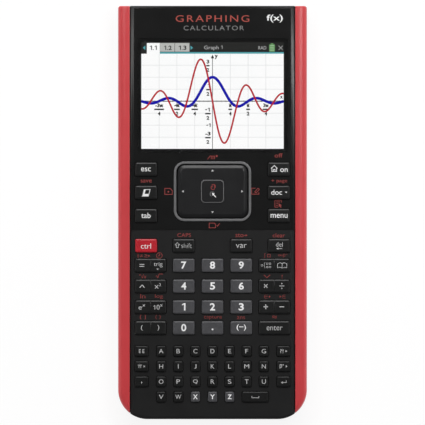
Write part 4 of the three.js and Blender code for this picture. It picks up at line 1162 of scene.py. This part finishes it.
DECK_TEXT = (  # text, centre, width and height
    ("save", -30.2, 14.3, 5, 1.3), ("off", 30.1, 26, 3.6, 1.9), ("+ page", 30.4, 14.2, 7.2, 1.8),
    ("CAPS", -12.9, -10.3, 6.2, 1.7), ("sto", 12.3, -10.4, 3.6, 1.6), ("clear", 30.2, -10.4, 5.6, 1.8),
    ("≠≥", -31.3, -19.7, 3.6, 1.5), ("?", -24.2, -19.6, 0.9, 1.6), ("∫", 23.8, -19.6, 0.9, 2.1),
    ("∞β°", 32, -19.6, 4.3, 1.8), ("ⁿ√x", -31.7, -29, 3, 2), ("!", 31.7, -29.2, 0.35, 1.8),
    ("ln", -31.7, -38.1, 2.2, 1.9), ("log", -24.4, -38.3, 3.5, 2.1), ("∈", 24.3, -38.3, 1.5, 1.6),
    ("∈", 32.5, -38.3, 1.5, 1.6), ("capture", 0.2, -47.9, 8, 1.8), ("ans", 13, -47.9, 3.6, 1.2),
    ("[ ]", -31.7, -47.6, 2.6, 1.9), ("{ }", -24.8, -47.6, 2.6, 1.9), ("≈", 28.2, -47.6, 2, 1.2),
)
DECK_ICONS = (  # icon, centre, stroke width
    (PAGE_DOT, -20, 9.6, 0.28), (PAGE_PEN, 19.6, 9.7, 0.28), (PAGE_TICK, 1, -5.9, 0.28),
    (GATHER, 0.2, 25.2, 0.28), (PAGE_MENU, 30, 4, 0.24), (RING_MARK, -24.2, -19.6, 0.2),
    (BLANK_BOX, 25.7, -19.6, 0.18), (ROOT, -24.2, -28.9, 0.2), (ARROW_RIGHT, 15.4, -10.4, 0),
    (ARROW_RIGHT, -28.9, -19.8, 0), (ARROW_RIGHT, 26, -38.3, 0), (ARROW_RIGHT, 30.9, -38.3, 0),
)
DECK_LINES = (("14.4,-10.4 15.2,-10.4", 0.24), ("-33.9,-18.8 -33.9,-20.6", 0.24),
              ("23.4,-28.4 24.8,-29.7 26.2,-28.4", 0.28))


def place_icon(sign, x, y, z, width):
    """An icon's shapes round a point."""
    open_lines, closed, filled = [[[(x + dx, y + dy) for dx, dy in points] for points in group]
                                  for group in sign]
    return ([stroke(points, width, z) for points in open_lines]
            + [stroke(points, width, z, closed=True) for points in closed]
            + [plate(points, z - INK, z + INK) for points in filled])


def key_legends():
    sink, number_bold = 0.022, 0.026
    bolds = {"negate": number_bold / 2, "shift_key": -0.02}
    for node, ((x, y), _, top) in KEYS.items():
        z = top - sink
        upper = y > CREASE_Y
        number = node.removeprefix("number_key_")
        bold = number_bold if number.isdigit() else 0.004 if upper else bolds.get(number, -0.006)
        shapes = []
        if node in KEY_ONES:
            dx, dy, height, weight = KEY_ONES[node]
            shapes.append(figure_one((x + dx, y + dy), height, z, weight))
        for body, dx, dy, w, h in KEY_TEXT.get(node, ()):
            shapes.append(text(body, (x + dx, y + dy), (w, h), z, bold))
        for sign, dx, dy, width in KEY_ICONS.get(node, ()):
            shapes += place_icon(sign, x + dx, y + dy, z, width)
        bright = upper or number != node or node == "control_key"
        lay(node + "_legend", shapes, INK_WHITE if bright else INK_SOFT, node, "legend_white")


def letter_legends():
    z, width = LETTER_TOP - 0.021, 0.21
    for row, caps in LETTER_ROWS.items():
        shapes = []
        for (x, y), _, legend in caps:
            if legend in LETTER_WIDTHS:
                height, bold = (2.1, 0.024) if legend in "XYZ" else (1.95, -0.004)
                shapes.append(text(legend, (x, y), (LETTER_WIDTHS[legend], height), z, bold))
            if legend in LETTER_TEXT:
                body, dx, dy, w, h = LETTER_TEXT[legend]
                shapes.append(text(body, (x + dx, y + dy), (w, h), z))
            for sign, dx, dy in LETTER_ICONS.get(legend, ()):
                shapes += place_icon(sign, x + dx, y + dy, z, width)
        name = f"letter_row_{row}"
        legend = make(name + "_legend", shapes, INK_SOFT, INK_WHITE, smooth=HARD_EDGES)
        choose_materials(legend, lambda p: on_grey_cap(row, p))
        attach(legend, name, "legend_white")


def deck_legends():
    red = [text(body, (x, y), (w, h), deck_of(y), 0 if y > -15 else -0.012) for body, x, y, w, h in DECK_TEXT]
    for sign, x, y, width in DECK_ICONS:
        red += place_icon(sign, x, y, deck_of(y), width)
    for points, width in DECK_LINES:
        line, = lines(points)
        red.append(stroke(line, width, deck_of(line[0][1])))
    title = text("GRAPHING", (0, 88.3), (33.5, 3), DISPLAY_DECK, -0.002, 1.25)
    subtitle = text("CALCULATOR", (0.6, 84), (27.5, 2.1), DISPLAY_DECK, 0, 1.25)
    badge = text("f(x)", (28.3, 88.3), (7.4, 3.6), DISPLAY_DECK, 0.016)
    lay("deck_legends", red, INK_RED, "case", "legend_red")
    lay("title_legend", title, INK_TITLE, "case", "legend_red")
    lay("subtitle_legend", subtitle, INK_GREY, "case", "legend_white")
    lay("function_legend", badge, INK_WHITE, "case", "legend_white")


def touchpad_legends():
    y, z = PAD_AT[1], BUTTON_HIGH.z - 0.06
    body = "touchpad_button"
    halo = stroke(arc(-0.1, y - 1.2, 1.0, 0.3, 1.4 * pi, 18), 0.22, z)
    lay("pad_pointer_legend", place_icon(POINTER, 0.55, y - 1.6, z, 0), INK_WHITE, body, "legend_white")
    lay("pad_hand_legend", place_icon(HAND, 0.3, y + 1.9, z, 0.24), INK_RED, body, "legend_red")
    lay("pad_halo_legend", halo, INK_GREY, body, "legend_white")


# ---------- pieces that keep their CAD shape ----------

def inner_materials():
    finishes = {"main_board": CIRCUIT_BOARD, "keypad_dome_sheet": DOME_FILM, "battery_pack": BATTERY_FOIL,
                "battery_contacts": CONTACT_GOLD, "display_ribbon": RIBBON_AMBER,
                "touchpad_carrier": REAR_BLACK}
    for node, material in finishes.items():
        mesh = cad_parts[node].data
        mesh.materials.clear()
        mesh.materials.append(material)


# ---------- room, in metres ----------

def floor():
    n = Nodes("floor_pale", Emission_Color=(1, 1, 1, 1), Emission_Strength=0.88, Roughness=0.8,
              Specular_IOR_Level=0.2)
    n.link(n.blend(n.spread(n.noise(80, 3), 0, 1), (0.14, 0.14, 0.14), (0.144, 0.144, 0.144)), "Base Color")

    def grid(bm):
        bmesh.ops.create_grid(bm, x_segments=4, y_segments=4, size=2 / MM)

    make("floor", grid, n.material)


def softbox(name, place, size, radiance, aim=(0, 0, 0)):
    """A rectangular light of a given brightness."""
    light = bpy.data.lights.new(name, "AREA")
    light.shape = "RECTANGLE"
    light.size, light.size_y = size
    light.energy = radiance * pi * size[0] * size[1]
    obj = bpy.data.objects.new(name, light)
    obj.location = place
    obj.rotation_euler = (Vector(aim) - Vector(place)).to_track_quat("-Z", "Y").to_euler()
    SCENE.collection.objects.link(obj)


def studio():
    softbox("softbox_top_end", (0, 1.25, 1.25), (1.5, 0.42), 8.6)
    softbox("softbox_right", (1.6, 0.1, 0.6), (0.8, 1.4), 0.6)
    softbox("softbox_left", (-1.6, 0.1, 0.6), (0.8, 1.4), 0.6)
    softbox("softbox_near_right", (0.22, 0.14, 0.5), (0.1, 0.14), 12, (0.04, 0.07, 0))
    softbox("softbox_near_left", (-0.22, 0.17, 0.5), (0.1, 0.14), 7, (-0.04, 0.09, 0))
    world = bpy.data.worlds.new("studio")
    world.use_nodes = True
    nodes, links = world.node_tree.nodes, world.node_tree.links
    direction = nodes.new("ShaderNodeTexCoord")
    split = nodes.new("ShaderNodeSeparateXYZ")
    ramp = nodes.new("ShaderNodeValToRGB")
    ramp.color_ramp.interpolation = "EASE"
    for element, place, value in zip(ramp.color_ramp.elements, (0.0, 0.7), (0.8, 0.11)):
        element.position = place
        element.color = (value, value, value, 1)
    links.new(direction.outputs["Generated"], split.inputs["Vector"])
    links.new(split.outputs["Z"], ramp.inputs["Fac"])
    links.new(ramp.outputs["Color"], nodes["Background"].inputs["Color"])
    SCENE.world = world
    SCENE.view_settings.view_transform = "Standard"


def camera():
    distance, frame_width = 3.0, 0.1935
    data = bpy.data.cameras.new("camera")
    data.sensor_width = 36
    data.lens = data.sensor_width * distance / frame_width
    data.clip_end = 10
    obj = bpy.data.objects.new("camera", data)
    obj.location = (0, 0, distance + KEYPAD_DECK * MM)
    SCENE.collection.objects.link(obj)
    SCENE.camera = obj


front_case()
rear_case()
battery_door()
for name in CASE_SCREWS + DOOR_SCREWS:
    screw(name)
for name in FEET:
    foot(name)
usb_socket()
reset_button()
side_rail(1)
side_rail(-1)
for name in KEYS:
    if name.startswith("number"):
        key(name, KEY_GREY, "key_grey")
    elif name == "control_key":
        key(name, KEY_RED, "key_red")
    else:
        key(name, KEY_DARK, "key_black")
for row in LETTER_ROWS:
    letter_row(row)
for step in (touchpad, window, display_panel, screen_picture, key_legends, letter_legends, deck_legends,
             touchpad_legends, inner_materials, floor, studio, camera):
    step()
